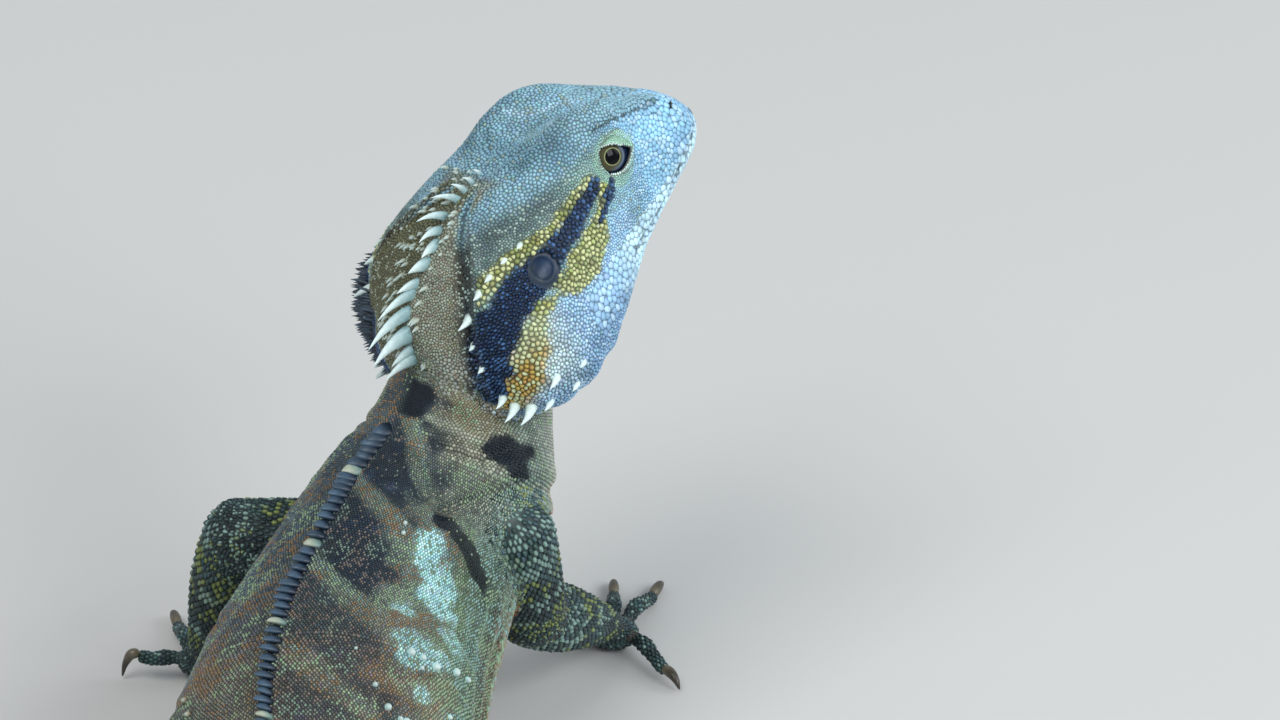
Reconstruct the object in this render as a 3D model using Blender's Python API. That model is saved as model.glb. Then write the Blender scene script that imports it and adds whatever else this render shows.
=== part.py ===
"""Australian water dragon, adult male, life size, chest raised and head turned to its right.

Lengths in the tables are millimetres, and MM turns them into metres when a mesh is made.
+Z is up, the tail runs towards -Y, and the belly, tail, hands and feet rest on Z = 0.
Angles round the body start at the spine and grow towards the animal's right side.
"""
import math
import random

import bmesh
import bpy
import numpy as np
from mathutils import Vector

MM = 0.001
GAP = 0.3
SINK = 0.4
SEED = 11

# The middle of the model on the floor, in the millimetre frame of the tables.
MIDDLE = np.array([-15.87, -306.25, 0.0])

# Body stations from the nape to the tail root:
# centre, direction of the spine, half width, depth above the centre, depth below it.
BODY = [
    ((23, 2, 95), (-.70, -.50, .50), 12, 14, 12),
    ((22, -2.5, 81), (-.78, -.60, .25), 13.5, 15, 14),
    ((19.5, -8, 67), (-.78, -.52, .35), 15.5, 16, 16.5),
    ((16, -15, 56.5), (-.66, -.38, .66), 20, 19, 20),
    ((9.5, -23, 47.2), (-.52, -.22, .84), 22.3, 21, 21.5),
    ((2.6, -37.5, 39.3), (-.46, -.18, .90), 25.2, 23, 23.5),
    ((-3.0, -51.5, 33.3), (-.45, -.20, .90), 27.8, 24, 25.6),
    ((-6.6, -65, 29.5), (-.42, -.22, .90), 29.4, 24, 26.4),
    ((-10.5, -83, 25.0), (-.32, -.22, .93), 30, 23, 25.5),
    ((-15, -102, 22.0), (-.17, -.15, .97), 26.5, 20, 22.6),
    ((-19, -120, 19.2), (-.05, -.1, 1), 20.5, 17, 19),
    ((-21, -136, 16.8), (0, -.08, 1), 16, 14.8, 14.5),
    ((-22, -165, 13.4), (0, -.05, 1), 12.2, 13.2, 12.6),
]
BODY_SQUARENESS = 2.2
NECK_STATIONS = (0, 3)
TORSO_STATIONS = (3, 11)
TORSO_RINGS = 27
NECK_RINGS = 12
BODY_SIDES = 26

# Tail: from the last body station to a whip tip, in one slow S on the floor.
TAIL_LENGTH = 500
TAIL_TIP = 0.8
TAIL_TAPER = 1.45
TAIL_SWING = math.radians(21)
TAIL_WAVE = 430
TAIL_STATIONS = 18
TAIL_PIECES = 5
TAIL_SIDES = 14
TAIL_RINGS = 8

# Head: snout tip, direction it points, direction of its crown.
SNOUT = np.array([61.5, 33.4, 105.6])
HEAD_FORWARD = (.740, .605, .294)
HEAD_CROWN = (-.386, .025, .922)
# Distance back from the snout tip of each section, then each section's outline as
# half width and height: crown, brow, cheek, lips, jaw edge, throat.
HEAD_BACK = [0, 3, 8, 14, 20, 26, 33, 41, 49, 57, 65, 72]
CROWN = [3.2, 8.0, 11.4, 14.4, 16.8, 18.4, 18.8, 18.2, 17.2, 15.5, 12.5, 7]
BROW = [(1.0, 3.2), (3.2, 7.8), (5.2, 11.6), (7.8, 15.6), (10.4, 19.2), (11.8, 21.2), (12.4, 20.8),
        (12.2, 18.0), (12.5, 15.5), (12, 13), (10, 9.5), (5, 4.5)]
CHEEK = [(1.6, 2.3), (5.4, 4.5), (8.2, 6), (10.3, 8), (11.7, 9.5), (13.6, 9.8), (16, 9),
         (18.5, 7.5), (21.0, 5.5), (22.5, 3), (20, 0), (10, -2)]
LIP = [(1.8, 1.2), (5.8, 1.0), (8.8, .3), (11.3, -.9), (13.5, -1.8), (15.6, -2.4), (18.2, -3.2),
       (21.2, -4), (24.4, -5.5), (26.2, -7), (24.5, -9), (13, -9)]
JAW = [(1.4, -0.8), (4.2, -2.4), (6.8, -3.8), (8.8, -5.4), (10.8, -7.2), (13.2, -9.5), (16.6, -12.5),
       (20.3, -16), (23, -18.5), (24, -19.5), (21, -18.5), (11, -14.5)]
THROAT = [-1.3, -3.4, -5.6, -7.6, -9.8, -12.4, -16, -20.5, -23.5, -24.5, -22.5, -17]
HEAD_RINGS = 24
# Where points fall between two of those outline points, closest to the line of the mouth.
SECTION_STEPS = [(0, .33, .66), (0, .25, .5, .75), (0, .35, .68, .9), (0, .1, .4, .7), (0, .25, .5, .75)]
MOUTH_CORNER = 30
MOUTH_DEPTH = 0.8
# The far jowl is puffed out a little more than the near one.
JOWL_START = 38
JOWL_PUFF = 0.24

# Eyes, nostrils and ears: distance back from the snout, half distance apart, height.
EYE_CENTRE = (24.3, 8.8, 9.8)
EYE_RADIUS = 5.2
SOCKET_ROOM = 0.45
LID_THICKNESS = 0.5
LID_STRETCH = 1.12
LID_OPENING = (3.3, 3.0, 2.6)
NOSTRIL = (5.2, 5.0, 8.1)
NOSTRIL_RADII = (.98, .75, 1.2)
EAR = (50.8, 21.2, 3.9)
EAR_RADIUS = 4.0
EAR_DEPTH = 1.3

# Nuchal crest: the line that its spines stand on, in the head's own directions (back, to the
# left, height), then their number, where on the neck they end, and their size. The turned
# head draws the line to the right.
NAPE_LINE = [(44, -.6, 18), (50, -1.2, 17.2), (56, -2.2, 15.8), (62, -5.2, 12.8), (68, -4.6, 9.2),
             (71.5, -3.8, 4.5), (73, -3.3, -1), (75, -2.2, -6)]
NAPE_SPINES = 14
NAPE_END = 18
NAPE_SPINE_LENGTH = 7.6
NAPE_SPINE_BASE = (2.1, 1.1)
SPINE_SIDES = 5
SPINE_ROOT = 1.3
# Places along a spine and how wide it is there; short spines do without the last one.
SPINE_FORM = [(-1, 1.0), (.12, .92), (.62, .5)]
SPINE_SHORT = 3.3

# Vertebral crest: keeled scutes in one row along the spine, then low ones on the first tail
# pieces.
SCUTE_PITCH = 3.15
SCUTE_HEIGHT = 2.3
SCUTE_BASE = (1.35, 1.65)
# Outline of a scute on the skin as parts of its half length and half width, and its lean.
SCUTE_OUTLINE = [(-1, 0), (-.2, 1), (.9, .55), (.9, -.55), (-.2, -1)]
SCUTE_LEAN = 1.15
TAIL_SCUTE_HEIGHT = 1.6
TAIL_SCUTE_PITCH = (5.4, 1.6)
TAIL_CRESTED = 4

# Spines behind the ears and on the rear of the jowls: distance back, height, length.
JOWL_SPINES = [(56, 7.5, 2.2), (60, 6.0, 2.8), (63.4, 4.7, 3.6), (67.4, 1.3, 4.6), (68.6, -4, 3.2),
               (67.4, -14, 4.4), (66, -17, 5.0), (64, -18.2, 4.4), (60, -14.5, 3.0), (57, -11.5, 2.4)]

# Limbs of the right and left side: joints from the trunk outwards and the radii there.
ARM_RADII = (8.8, 8.3, 7.2)
FOREARM_RADII = (7.0, 6.7, 3.6)
THIGH_RADII = (13.0, 11.0, 8.0)
SHIN_RADII = (7.8, 7.2, 4.4)
LIMB_SIDES = 12
LIMB_RINGS = 7
# Turns from the axis at which the rings of a limb's round end stand.
LIMB_END_TURNS = np.radians([18, 40, 64])
# The length of trunk that limbs are cut clear of: from the neck to the tail root.
TRUNK_REACH = (20, 13)
TRUNK_RINGS = 60
# Shoulder, elbow and wrist, then hip, knee and ankle.
ARMS = {
    "right": [(27.5, -30, 51), (31, -20, 28), (45.5, 8, 8.6)],
    "left": [(0, -20, 43), (-24.5, -14.5, 42), (-31.5, -2, 9.6)],
}
LEGS = {
    "right": [(-6, -121, 20), (34, -94, 27), (42, -134, 8.4)],
    "left": [(-33, -123, 20), (-76, -103, 26), (-76, -144, 8.4)],
}
# Hands and feet: heading of the palm, then each digit's heading, length and the height
# that its last joint is held at. Degrees from +X.
HANDS = {
    "right": {"heading": 80, "reach": 9, "width": 5.4,
              "digits": [(134, 8, 0), (110, 12, 0), (90, 16, 0), (70, 17, 0), (-57, 12.5, 1.2)]},
    "left": {"heading": 100, "reach": 8, "width": 5.0,
             "digits": [(40, 8, 0), (66, 12, 0), (84, 16, 0), (102, 16, 0), (176, 9, 4.4)]},
}
FEET = {
    "right": {"heading": 40, "reach": 17, "width": 5.6,
              "digits": [(88, 9, 0), (68, 15, 0), (50, 24, 0), (34, 36, 0), (-18, 19, 0)]},
    "left": {"heading": 136, "reach": 17, "width": 5.6,
             "digits": [(90, 9, 0), (110, 15, 0), (127, 24, 0), (142, 36, 0), (196, 19, 0)]},
}
# Palm: places along its reach from behind the wrist to the knuckles, its width there, and its
# flatness. The first two widths are the wrist's.
PALM_PLACES = (-.35, 0, .3, .65, .95, 1.15)
PALM_WIDTHS = (.8, 1, .86, 1, .9, .5)
PALM_BEND = (.65, 3.4)
PALM_END = 2.3
PALM_FLATNESS = .62
PALM_SIDES = 10
PALM_HEIGHT = 2.85
WRIST_FIT = .93
# Where the outer and the inner digits leave the palm, and how far they stand apart.
DIGIT_ROOTS = (.45, .82)
DIGIT_SPREAD = .72
# Digits: radii at root and pad, height of the knuckle, then places along them and how much
# the joints swell.
DIGIT_RADII = (1.75, 1.25)
TOE_RADII = (2.0, 1.3)
DIGIT_ARCH = 4.6
DIGIT_PLACES = np.array([0, .2, .42, .66, .88, 1.0])
DIGIT_BENDS = (0, .3, .62, 1)
DIGIT_SWELL = .1
DIGIT_SIDES = 6
PAD_SINK = .25
SHORT_DIGIT = 15
# Claws: length along the hook, its turns from inside the pad to the tip, and its thickness.
CLAW_LENGTH = 5.6
CLAW_RADIUS = 1.05
CLAW_TURNS = np.radians([-7.44, 15.5, 40.3, 62])
CLAW_WIDTHS = np.array([.85, 1, .68, .16])
CLAW_BOW = .6
CLAW_SIDES = 5

COLOURS = {
    "head": (.42, .45, .38), "neck": (.30, .28, .20), "torso": (.25, .20, .14), "tail": (.22, .19, .14),
    "arm": (.10, .10, .07), "leg": (.14, .12, .09), "eye": (.05, .04, .03),
}


def unit(vectors):
    """Scale vectors to length one."""
    vectors = np.asarray(vectors, float)
    return vectors / np.linalg.norm(vectors, axis=-1, keepdims=True)


FORWARD = unit(HEAD_FORWARD)
CROWN_UP = unit(np.array(HEAD_CROWN) - FORWARD * (np.array(HEAD_CROWN) @ FORWARD))
HEAD_LEFT = np.cross(CROWN_UP, FORWARD)


def spline(at, knots, values):
    """Smooth curve through values at knots, read at the places in at."""
    knots = np.asarray(knots, float)
    flat = np.asarray(values, float).reshape(len(knots), -1)
    steps = np.diff(knots)[:, None]
    slopes = np.diff(flat, axis=0) / steps
    tangents = np.zeros_like(flat)
    tangents[1:-1] = (slopes[:-1] * steps[1:] + slopes[1:] * steps[:-1]) / (steps[1:] + steps[:-1])
    tangents[0] = slopes[0]
    tangents[-1] = slopes[-1]
    at = np.clip(np.asarray(at, float), knots[0], knots[-1])
    span = np.clip(np.searchsorted(knots, at, side="right") - 1, 0, len(knots) - 2)
    length = steps[span]
    t = (at[:, None] - knots[span][:, None]) / length
    curve = (2 * t**3 - 3 * t**2 + 1) * flat[span] + (t**3 - 2 * t**2 + t) * length * tangents[span]
    curve += (3 * t**2 - 2 * t**3) * flat[span + 1] + (t**3 - t**2) * length * tangents[span + 1]
    return curve.reshape((len(at),) + np.asarray(values).shape[1:])


def tail_stations():
    """Stations of the tail: an S on the floor whose radii shrink to the whip tip."""
    centre, _, width, above, below = BODY[-1]
    place = np.array(centre, float)
    step = TAIL_LENGTH / TAIL_STATIONS
    stations = []
    for index in range(1, TAIL_STATIONS + 1):
        along = index / TAIL_STATIONS
        swing = TAIL_SWING * math.sin(2 * math.pi * (index - .5) * step / TAIL_WAVE)
        place = place + step * np.array([math.sin(swing), -math.cos(swing), 0])
        size = TAIL_TIP + (width - TAIL_TIP) * (1 - along) ** TAIL_TAPER
        depth = size * below / width
        place[2] = depth - SINK
        stations.append((tuple(place), (0, 0, 1), size, size * above / width, depth))
    return stations


class Body:
    """The whole trunk from nape to tail tip as one smooth tube."""

    def __init__(self):
        stations = BODY + tail_stations()
        self.centres = np.array([row[0] for row in stations], float)
        self.ups = np.array([row[1] for row in stations], float)
        self.sizes = np.array([row[2:] for row in stations], float)
        chords = np.linalg.norm(np.diff(self.centres, axis=0), axis=1)
        self.knots = np.concatenate([[0], np.cumsum(chords)])

    def frame(self, along):
        """Centre, direction to the tail, up, right and sizes at distances along the body."""
        along = np.atleast_1d(np.asarray(along, float))
        centre = spline(along, self.knots, self.centres)
        ahead = spline(along + .5, self.knots, self.centres)
        behind = spline(along - .5, self.knots, self.centres)
        back = unit(ahead - behind)
        up = spline(along, self.knots, self.ups)
        up = unit(up - back * (up * back).sum(1, keepdims=True))
        right = np.cross(up, back)
        return centre, back, up, right, spline(along, self.knots, self.sizes)

    def points(self, along, angles, grow=0.0):
        """Grid of surface points, grown outwards by a length, and never below the floor."""
        centre, _, up, right, size = self.frame(along)
        sine = np.sin(angles)
        cosine = np.cos(angles)
        power = 2 / BODY_SQUARENESS
        across = np.sign(sine) * np.abs(sine) ** power
        upward = np.sign(cosine) * np.abs(cosine) ** power
        depth = np.where(cosine > 0, size[:, 1:2], size[:, 2:3]) + grow
        grid = centre[:, None] + right[:, None] * ((size[:, :1] + grow) * across)[..., None]
        grid += up[:, None] * (depth * upward)[..., None]
        grid[..., 2] = np.maximum(grid[..., 2], -grow)
        return grid

    def spine_line(self, along):
        """Points on the spine, the normal there and the direction to the tail."""
        _, back, up, right, _ = self.frame(along)
        return self.points(along, np.array([0.0]))[:, 0], up, back, right


def clear_scene():
    """Take every object out of the scene."""
    for thing in list(bpy.data.objects):
        bpy.data.objects.remove(thing, do_unlink=True)


def collection(name):
    """New collection linked to the scene."""
    group = bpy.data.collections.new(name)
    bpy.context.scene.collection.children.link(group)
    return group


def skin_material(name, colour, roughness):
    """Plain Principled finish for one piece."""
    material = bpy.data.materials.new(name)
    material.use_nodes = True
    shader = material.node_tree.nodes["Principled BSDF"]
    shader.inputs["Base Color"].default_value = (*colour, 1)
    shader.inputs["Roughness"].default_value = roughness
    shader.inputs["Metallic"].default_value = 0.0
    return material


def solid(name, points, faces, group):
    """Closed mesh object from points in the millimetre frame of the tables."""
    mesh = bpy.data.meshes.new(name)
    places = (np.asarray(points, float) - MIDDLE) * MM
    mesh.from_pydata(places.tolist(), [], faces)
    shape = bmesh.new()
    shape.from_mesh(mesh)
    outwards(shape)
    shape.to_mesh(mesh)
    shape.free()
    thing = bpy.data.objects.new(name, mesh)
    group.objects.link(thing)
    return thing


def outwards(shape):
    """Turn the faces of a closed surface to point out of it."""
    bmesh.ops.recalc_face_normals(shape, faces=shape.faces)
    if shape.calc_volume(signed=True) < 0:
        bmesh.ops.reverse_faces(shape, faces=shape.faces)


def loft(rings):
    """Points and faces of a tube through rings, each end closed by a fan to its middle."""
    rings = np.asarray(rings, float)
    count, sides = rings.shape[:2]
    points = np.concatenate([rings.reshape(-1, 3), rings[:1].mean(1), rings[-1:].mean(1)])
    faces = []
    for ring in range(count - 1):
        for side in range(sides):
            after = (side + 1) % sides
            low = ring * sides
            faces.append((low + side, low + after, low + sides + after, low + sides + side))
    last = (count - 1) * sides
    for side in range(sides):
        after = (side + 1) % sides
        faces.append((after, side, count * sides))
        faces.append((last + side, last + after, count * sides + 1))
    return points, faces


def apply_boolean(thing, others, operation, work):
    """Join others to a thing, or cut them from it, and keep the largest closed surface."""
    pool = bpy.data.collections.new("pool")
    for other in others:
        work.objects.unlink(other)
        pool.objects.link(other)
    bpy.context.scene.collection.children.link(pool)
    cut = thing.modifiers.new(operation.lower(), "BOOLEAN")
    cut.operation = operation
    cut.operand_type = "COLLECTION"
    cut.collection = pool
    cut.solver = "MANIFOLD"
    graph = bpy.context.evaluated_depsgraph_get()
    graph.update()
    mesh = bpy.data.meshes.new_from_object(thing.evaluated_get(graph))
    thing.modifiers.clear()
    thing.data = mesh
    for other in list(pool.objects):
        bpy.data.objects.remove(other, do_unlink=True)
    bpy.data.collections.remove(pool)
    keep_largest(thing)


def keep_largest(thing):
    """Delete every closed surface of a mesh but the one with the most room inside."""
    work = bmesh.new()
    work.from_mesh(thing.data)
    bmesh.ops.triangulate(work, faces=work.faces)
    left = set(work.faces)
    shells = []
    while left:
        shell = [left.pop()]
        for face in shell:
            for edge in face.edges:
                for near in edge.link_faces:
                    if near in left:
                        left.discard(near)
                        shell.append(near)
        shells.append(shell)
    shells.sort(key=room_inside)
    spare = [face for shell in shells[:-1] for face in shell]
    bmesh.ops.delete(work, geom=spare, context="FACES")
    work.to_mesh(thing.data)
    work.free()


def room_inside(shell):
    """Volume closed in by a list of triangles."""
    total = 0.0
    for face in shell:
        a, b, c = [corner.co for corner in face.verts]
        total += a.dot(b.cross(c)) / 6
    return abs(total)


def spine(root, lean, lie, length, base, work, bend=.35, grow=0.0):
    """Closed tapered spine that leaves the skin along lean and bends over along lie.

    base is its half length along the lie and its half thickness across it.
    """
    root = np.asarray(root, float)
    lean = unit(lean)
    lie = unit(np.asarray(lie, float) - lean * (np.asarray(lie) @ lean))
    across = np.cross(lean, lie)
    turns = np.arange(SPINE_SIDES) * 2 * math.pi / SPINE_SIDES
    rings = []
    for place, width in (SPINE_FORM if length > SPINE_SHORT else SPINE_FORM[:2]):
        middle = root + lean * max(place * length, -SPINE_ROOT) + lie * bend * length * max(place, 0) ** 2
        flat = np.outer(np.cos(turns), lie) * (base[0] * width + grow)
        flat += np.outer(np.sin(turns), across) * (base[1] * width + grow)
        rings.append(middle + flat)
    tip = root + lean * (length + 2 * grow) + lie * bend * length
    points = np.concatenate([*rings, [tip]])
    faces = [tuple(range(SPINE_SIDES))]
    for ring in range(len(rings) - 1):
        for side in range(SPINE_SIDES):
            after = (side + 1) % SPINE_SIDES
            low = ring * SPINE_SIDES
            faces.append((low + side, low + after, low + SPINE_SIDES + after, low + SPINE_SIDES + side))
    last = (len(rings) - 1) * SPINE_SIDES
    for side in range(SPINE_SIDES):
        faces.append((last + side, last + (side + 1) % SPINE_SIDES, last + SPINE_SIDES))
    return solid("spine", points, faces, work)


def scute(root, up, back, right, height, base, work):
    """Closed scute: a keeled lobe across the spine that leans towards the tail."""
    root = np.asarray(root, float)
    outline = np.array(SCUTE_OUTLINE) * base
    corners = root + np.outer(outline[:, 0], back) + np.outer(outline[:, 1], right)
    ridge = [root + up * height + back * base[0] * SCUTE_LEAN + right * base[1] * side for side in (.3, -.3)]
    points = np.concatenate([corners - up * SPINE_ROOT, corners + up * .1, ridge])
    count = len(SCUTE_OUTLINE)
    faces = [tuple(range(count))]
    for side in range(count):
        faces.append((side, (side + 1) % count, count + (side + 1) % count, count + side))
    top = 2 * count
    faces += [(count, count + 1, top), (count + 1, count + 2, top), (count + 2, count + 3, top + 1, top),
              (count + 3, count + 4, top + 1), (count + 4, count, top + 1), (count, top, top + 1)]
    return solid("scute", points, faces, work)


def head_point(back, side, height):
    """Place in the head's own directions: back from the snout, to its left, towards the crown."""
    return SNOUT - FORWARD * back + HEAD_LEFT * side + CROWN_UP * height


def half_section(back):
    """Half outline of the head at distances back from the snout: half width and height."""
    rows = [[(0, height) for height in CROWN], BROW, CHEEK, LIP, JAW, [(0, height) for height in THROAT]]
    controls = [spline(back, HEAD_BACK, np.array(row, float)) for row in rows]
    outline = []
    for ring in range(len(back)):
        corner = np.array([row[ring] for row in controls])
        mirrored = np.concatenate([[corner[1] * (-1, 1)], corner, [corner[-2] * (-1, 1)]])
        chords = np.sqrt(np.linalg.norm(np.diff(mirrored, axis=0), axis=1))
        knots = np.concatenate([[0], np.cumsum(chords)])
        places = [knots[1 + span] + part * chords[1 + span]
                  for span, parts in enumerate(SECTION_STEPS) for part in parts]
        outline.append(spline(np.array(places + [knots[6]]), knots, mirrored))
    return np.array(outline)


def head_rings(grow=0.0):
    """Rings of the head from the snout to the nape, grown outwards by a length."""
    back = np.concatenate([[0, 1.2], np.linspace(3, HEAD_BACK[-1], HEAD_RINGS - 2)])
    outline = half_section(back)
    mouth = len(SECTION_STEPS[0]) + len(SECTION_STEPS[1]) + len(SECTION_STEPS[2])
    depth = MOUTH_DEPTH * np.clip((MOUTH_CORNER - back) / 4, 0, 1) * np.clip(back / 2, 0.3, 1)
    outline[:, mouth, 0] -= depth
    puff = 1 + JOWL_PUFF * np.clip((back - JOWL_START) / 20, 0, 1)
    left = outline * np.stack([puff, np.ones_like(puff)], -1)[:, None]
    right = outline[:, -2:0:-1] * (-1, 1)
    section = np.concatenate([left, right], 1)
    if grow:
        middle = section.mean(1, keepdims=True)
        away = section - middle
        section = middle + away * (1 + grow / np.linalg.norm(away, axis=2, keepdims=True))
        back = back + np.linspace(-grow, grow, len(back))
    return head_point(back[:, None, None], section[..., :1], section[..., 1:])


def side_point(back, height, side):
    """Point of the head's flank at a height, with its outward direction."""
    outline = half_section(np.array([float(back)]))[0]
    low = len(SECTION_STEPS[0])
    flank = outline[low:]
    nearest = np.interp(-height, -flank[:, 1], np.arange(len(flank)))
    half = np.interp(nearest, np.arange(len(flank)), flank[:, 0])
    sign = 1 if side == "left" else -1
    puff = 1 + JOWL_PUFF * min(max((back - JOWL_START) / 20, 0), 1) * (side == "left")
    return head_point(back, sign * half * puff, height), HEAD_LEFT * sign


def ball(centre, radii, axes, work, segments=20, rings=12):
    """Ellipsoid with its own axes, made from a sphere primitive's mesh."""
    shape = bmesh.new()
    bmesh.ops.create_uvsphere(shape, u_segments=segments, v_segments=rings, radius=1)
    axes = np.asarray(axes, float) * np.asarray(radii, float)[:, None]
    for corner in shape.verts:
        corner.co = ((np.asarray(centre) - MIDDLE + np.array(corner.co) @ axes) * MM).tolist()
    outwards(shape)
    mesh = bpy.data.meshes.new("ball")
    shape.to_mesh(mesh)
    shape.free()
    thing = bpy.data.objects.new("ball", mesh)
    work.objects.link(thing)
    return thing


def eye_axes(side):
    """Ahead, up and outward directions of an eye."""
    sign = 1 if side == "left" else -1
    out = unit(HEAD_LEFT * sign - FORWARD * .06 + CROWN_UP * .18)
    ahead = unit(FORWARD - out * (FORWARD @ out))
    return np.array([ahead, np.cross(out, ahead), out])


def eye_centre(side):
    """Middle of an eyeball."""
    sign = 1 if side == "left" else -1
    return head_point(EYE_CENTRE[0], sign * EYE_CENTRE[1], EYE_CENTRE[2])


def make_eye(side, parts):
    """Whole eyeball in its socket."""
    bpy.ops.mesh.primitive_uv_sphere_add(segments=16, ring_count=10, radius=EYE_RADIUS * MM)
    eye = bpy.context.object
    eye.name = f"eye_{side}"
    eye.location = ((eye_centre(side) - MIDDLE) * MM).tolist()
    for group in list(eye.users_collection):
        group.objects.unlink(eye)
    parts.objects.link(eye)
    eye.data.materials.append(skin_material(eye.name, COLOURS["eye"], .1))
    eye.data.shade_smooth()


def make_head(parts, work):
    """Head with lids, mouth line, nostrils and ear cups, still without spines."""
    head = solid("head", *loft(head_rings()), parts)
    lids = []
    cuts = []
    socket = EYE_RADIUS + SOCKET_ROOM
    lid = socket + LID_THICKNESS
    for side in ("left", "right"):
        axes = eye_axes(side)
        centre = eye_centre(side)
        lids.append(ball(centre, (lid * LID_STRETCH, lid, lid), axes, work, 18, 12))
        cuts.append(ball(centre, (socket, socket, socket), axes, work, 14, 10))
        cuts.append(ball(centre + axes[2] * EYE_RADIUS, LID_OPENING, axes, work, 16, 6))
        nostril, out = side_point(NOSTRIL[0], NOSTRIL[2], side)
        flank = np.array([FORWARD, CROWN_UP, out])
        cuts.append(ball(nostril, NOSTRIL_RADII, flank, work, 8, 6))
        ear, out = side_point(EAR[0], EAR[2], side)
        flank = np.array([FORWARD, CROWN_UP, out])
        cuts.append(ball(ear, (EAR_RADIUS, EAR_RADIUS, EAR_DEPTH), flank, work, 14, 8))
    apply_boolean(head, lids, "UNION", work)
    apply_boolean(head, cuts, "DIFFERENCE", work)
    finish(head, "head")
    return head


def make_neck(parts, work):
    """Neck ended clear of the head, still without spines."""
    start, end = [BODY_TUBE.knots[index] for index in NECK_STATIONS]
    angles = np.arange(BODY_SIDES) * 2 * math.pi / BODY_SIDES
    along = np.linspace(start, end - GAP / 2, NECK_RINGS)
    neck = solid("neck", *loft(BODY_TUBE.points(along, angles)), parts)
    apply_boolean(neck, [solid("cutter", *loft(head_rings(GAP)), work)], "DIFFERENCE", work)
    finish(neck, "neck")
    return neck


def nape_spines(head, neck, dice):
    """Nuchal crest as the settings of each spine, with the name of the piece it stands on."""
    places = [head_point(*row) for row in NAPE_LINE]
    along = np.concatenate([[0], np.cumsum(np.linalg.norm(np.diff(places, axis=0), axis=1))])
    steps = np.linspace(0, along[-1], NAPE_SPINES)
    guides = spline(steps, along, places)
    lies = unit(spline(steps + 1, along, places) - spline(steps - 1, along, places))
    _, neck_up, _, _ = BODY_TUBE.spine_line([NAPE_END])
    rows = []
    for index in range(NAPE_SPINES):
        part = index / (NAPE_SPINES - 1)
        up = unit(CROWN_UP * (1 - part) + neck_up[0] * part)
        root, owner = skin_under(guides[index], up, (head, neck))
        full = math.sin(math.pi * (.22 + .62 * part))
        rows.append((owner, root, unit(up + lies[index] * .25), lies[index],
                     NAPE_SPINE_LENGTH * full * dice.uniform(.88, 1.1), NAPE_SPINE_BASE))
    return rows


def jowl_spines(dice):
    """Spines behind the ears and on the jowls, as settings like those of the nuchal crest."""
    rows = []
    for side in ("left", "right"):
        for back, height, length in JOWL_SPINES:
            root, out = side_point(back, height, side)
            droop = CROWN_UP * (-.45 if height < -10 else dice.uniform(-.1, .1))
            rows.append(("head", root, unit(out * .75 - FORWARD * .8 + droop), -FORWARD, length, (1.15, .95)))
    return rows


def skin_under(guide, up, things):
    """Point where a line along up through a guide point meets the outermost of several pieces."""
    best = None
    start = Vector(((guide + up * 12 - MIDDLE) * MM).tolist())
    for thing in things:
        hit, place, _, _ = thing.ray_cast(start, Vector((-up).tolist()))
        if hit and (best is None or (place - start).length < best[0]):
            best = ((place - start).length, np.array(place) / MM + MIDDLE, thing.name)
    return best[1], best[2]


def add_spines(head, neck, work, dice):
    """Fuse each spine with its own piece, and keep the neck and trunk clear of the head's."""
    rows = nape_spines(head, neck, dice) + jowl_spines(dice)
    for thing in (head, neck):
        own = [spine(*row[1:], work, bend=.45) for row in rows if row[0] == thing.name]
        apply_boolean(thing, own, "UNION", work)
    cutters = [solid("cutter", *loft(head_rings(GAP)), work)]
    cutters += [spine(*row[1:], work, bend=.45, grow=GAP) for row in rows if row[0] == "head"]
    apply_boolean(neck, cutters, "DIFFERENCE", work)


def make_torso(parts, work, dice):
    """Trunk with the vertebral crest."""
    start, end = [BODY_TUBE.knots[index] for index in TORSO_STATIONS]
    angles = np.arange(BODY_SIDES) * 2 * math.pi / BODY_SIDES
    along = np.linspace(start + GAP / 2, end - GAP / 2, TORSO_RINGS)
    torso = solid("torso", *loft(BODY_TUBE.points(along, angles)), parts)
    places = np.arange(start + 2.5, end - 2.5, SCUTE_PITCH)
    additions = crest(places, SCUTE_HEIGHT, SCUTE_BASE, work, dice)
    apply_boolean(torso, additions, "UNION", work)
    finish(torso, "torso")


def crest(places, height, base, work, dice):
    """One row of scutes on the spine at distances along the body."""
    roots, ups, backs, rights = BODY_TUBE.spine_line(places)
    row = []
    for root, up, back, right in zip(roots, ups, backs, rights):
        row.append(scute(root, up, back, right, height * dice.uniform(.85, 1.15), base, work))
    return row


def make_tail(parts, work, dice):
    """Tail in lengths, each with a low crest that fades towards the tip."""
    start = BODY_TUBE.knots[TORSO_STATIONS[1]]
    cuts = np.linspace(start, BODY_TUBE.knots[-1], TAIL_PIECES + 1)
    angles = np.arange(TAIL_SIDES) * 2 * math.pi / TAIL_SIDES
    for piece in range(TAIL_PIECES):
        first = cuts[piece] + GAP / 2
        last = cuts[piece + 1] - GAP / 2
        along = np.linspace(first, last, TAIL_RINGS)
        tail = solid(f"tail_{piece + 1}", *loft(BODY_TUBE.points(along, angles)), parts)
        size = 1 - piece / TAIL_PIECES
        pitch = TAIL_SCUTE_PITCH[0] + TAIL_SCUTE_PITCH[1] * piece
        base = (pitch * .38, 1.3 * size + .2)
        places = np.arange(first + 1 + base[0], last - 1 - base[0] * (1 + SCUTE_LEAN), pitch)
        if piece < TAIL_CRESTED:
            additions = crest(places, TAIL_SCUTE_HEIGHT * size + .2, base, work, dice)
            apply_boolean(tail, additions, "UNION", work)
        finish(tail, "tail")


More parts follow.
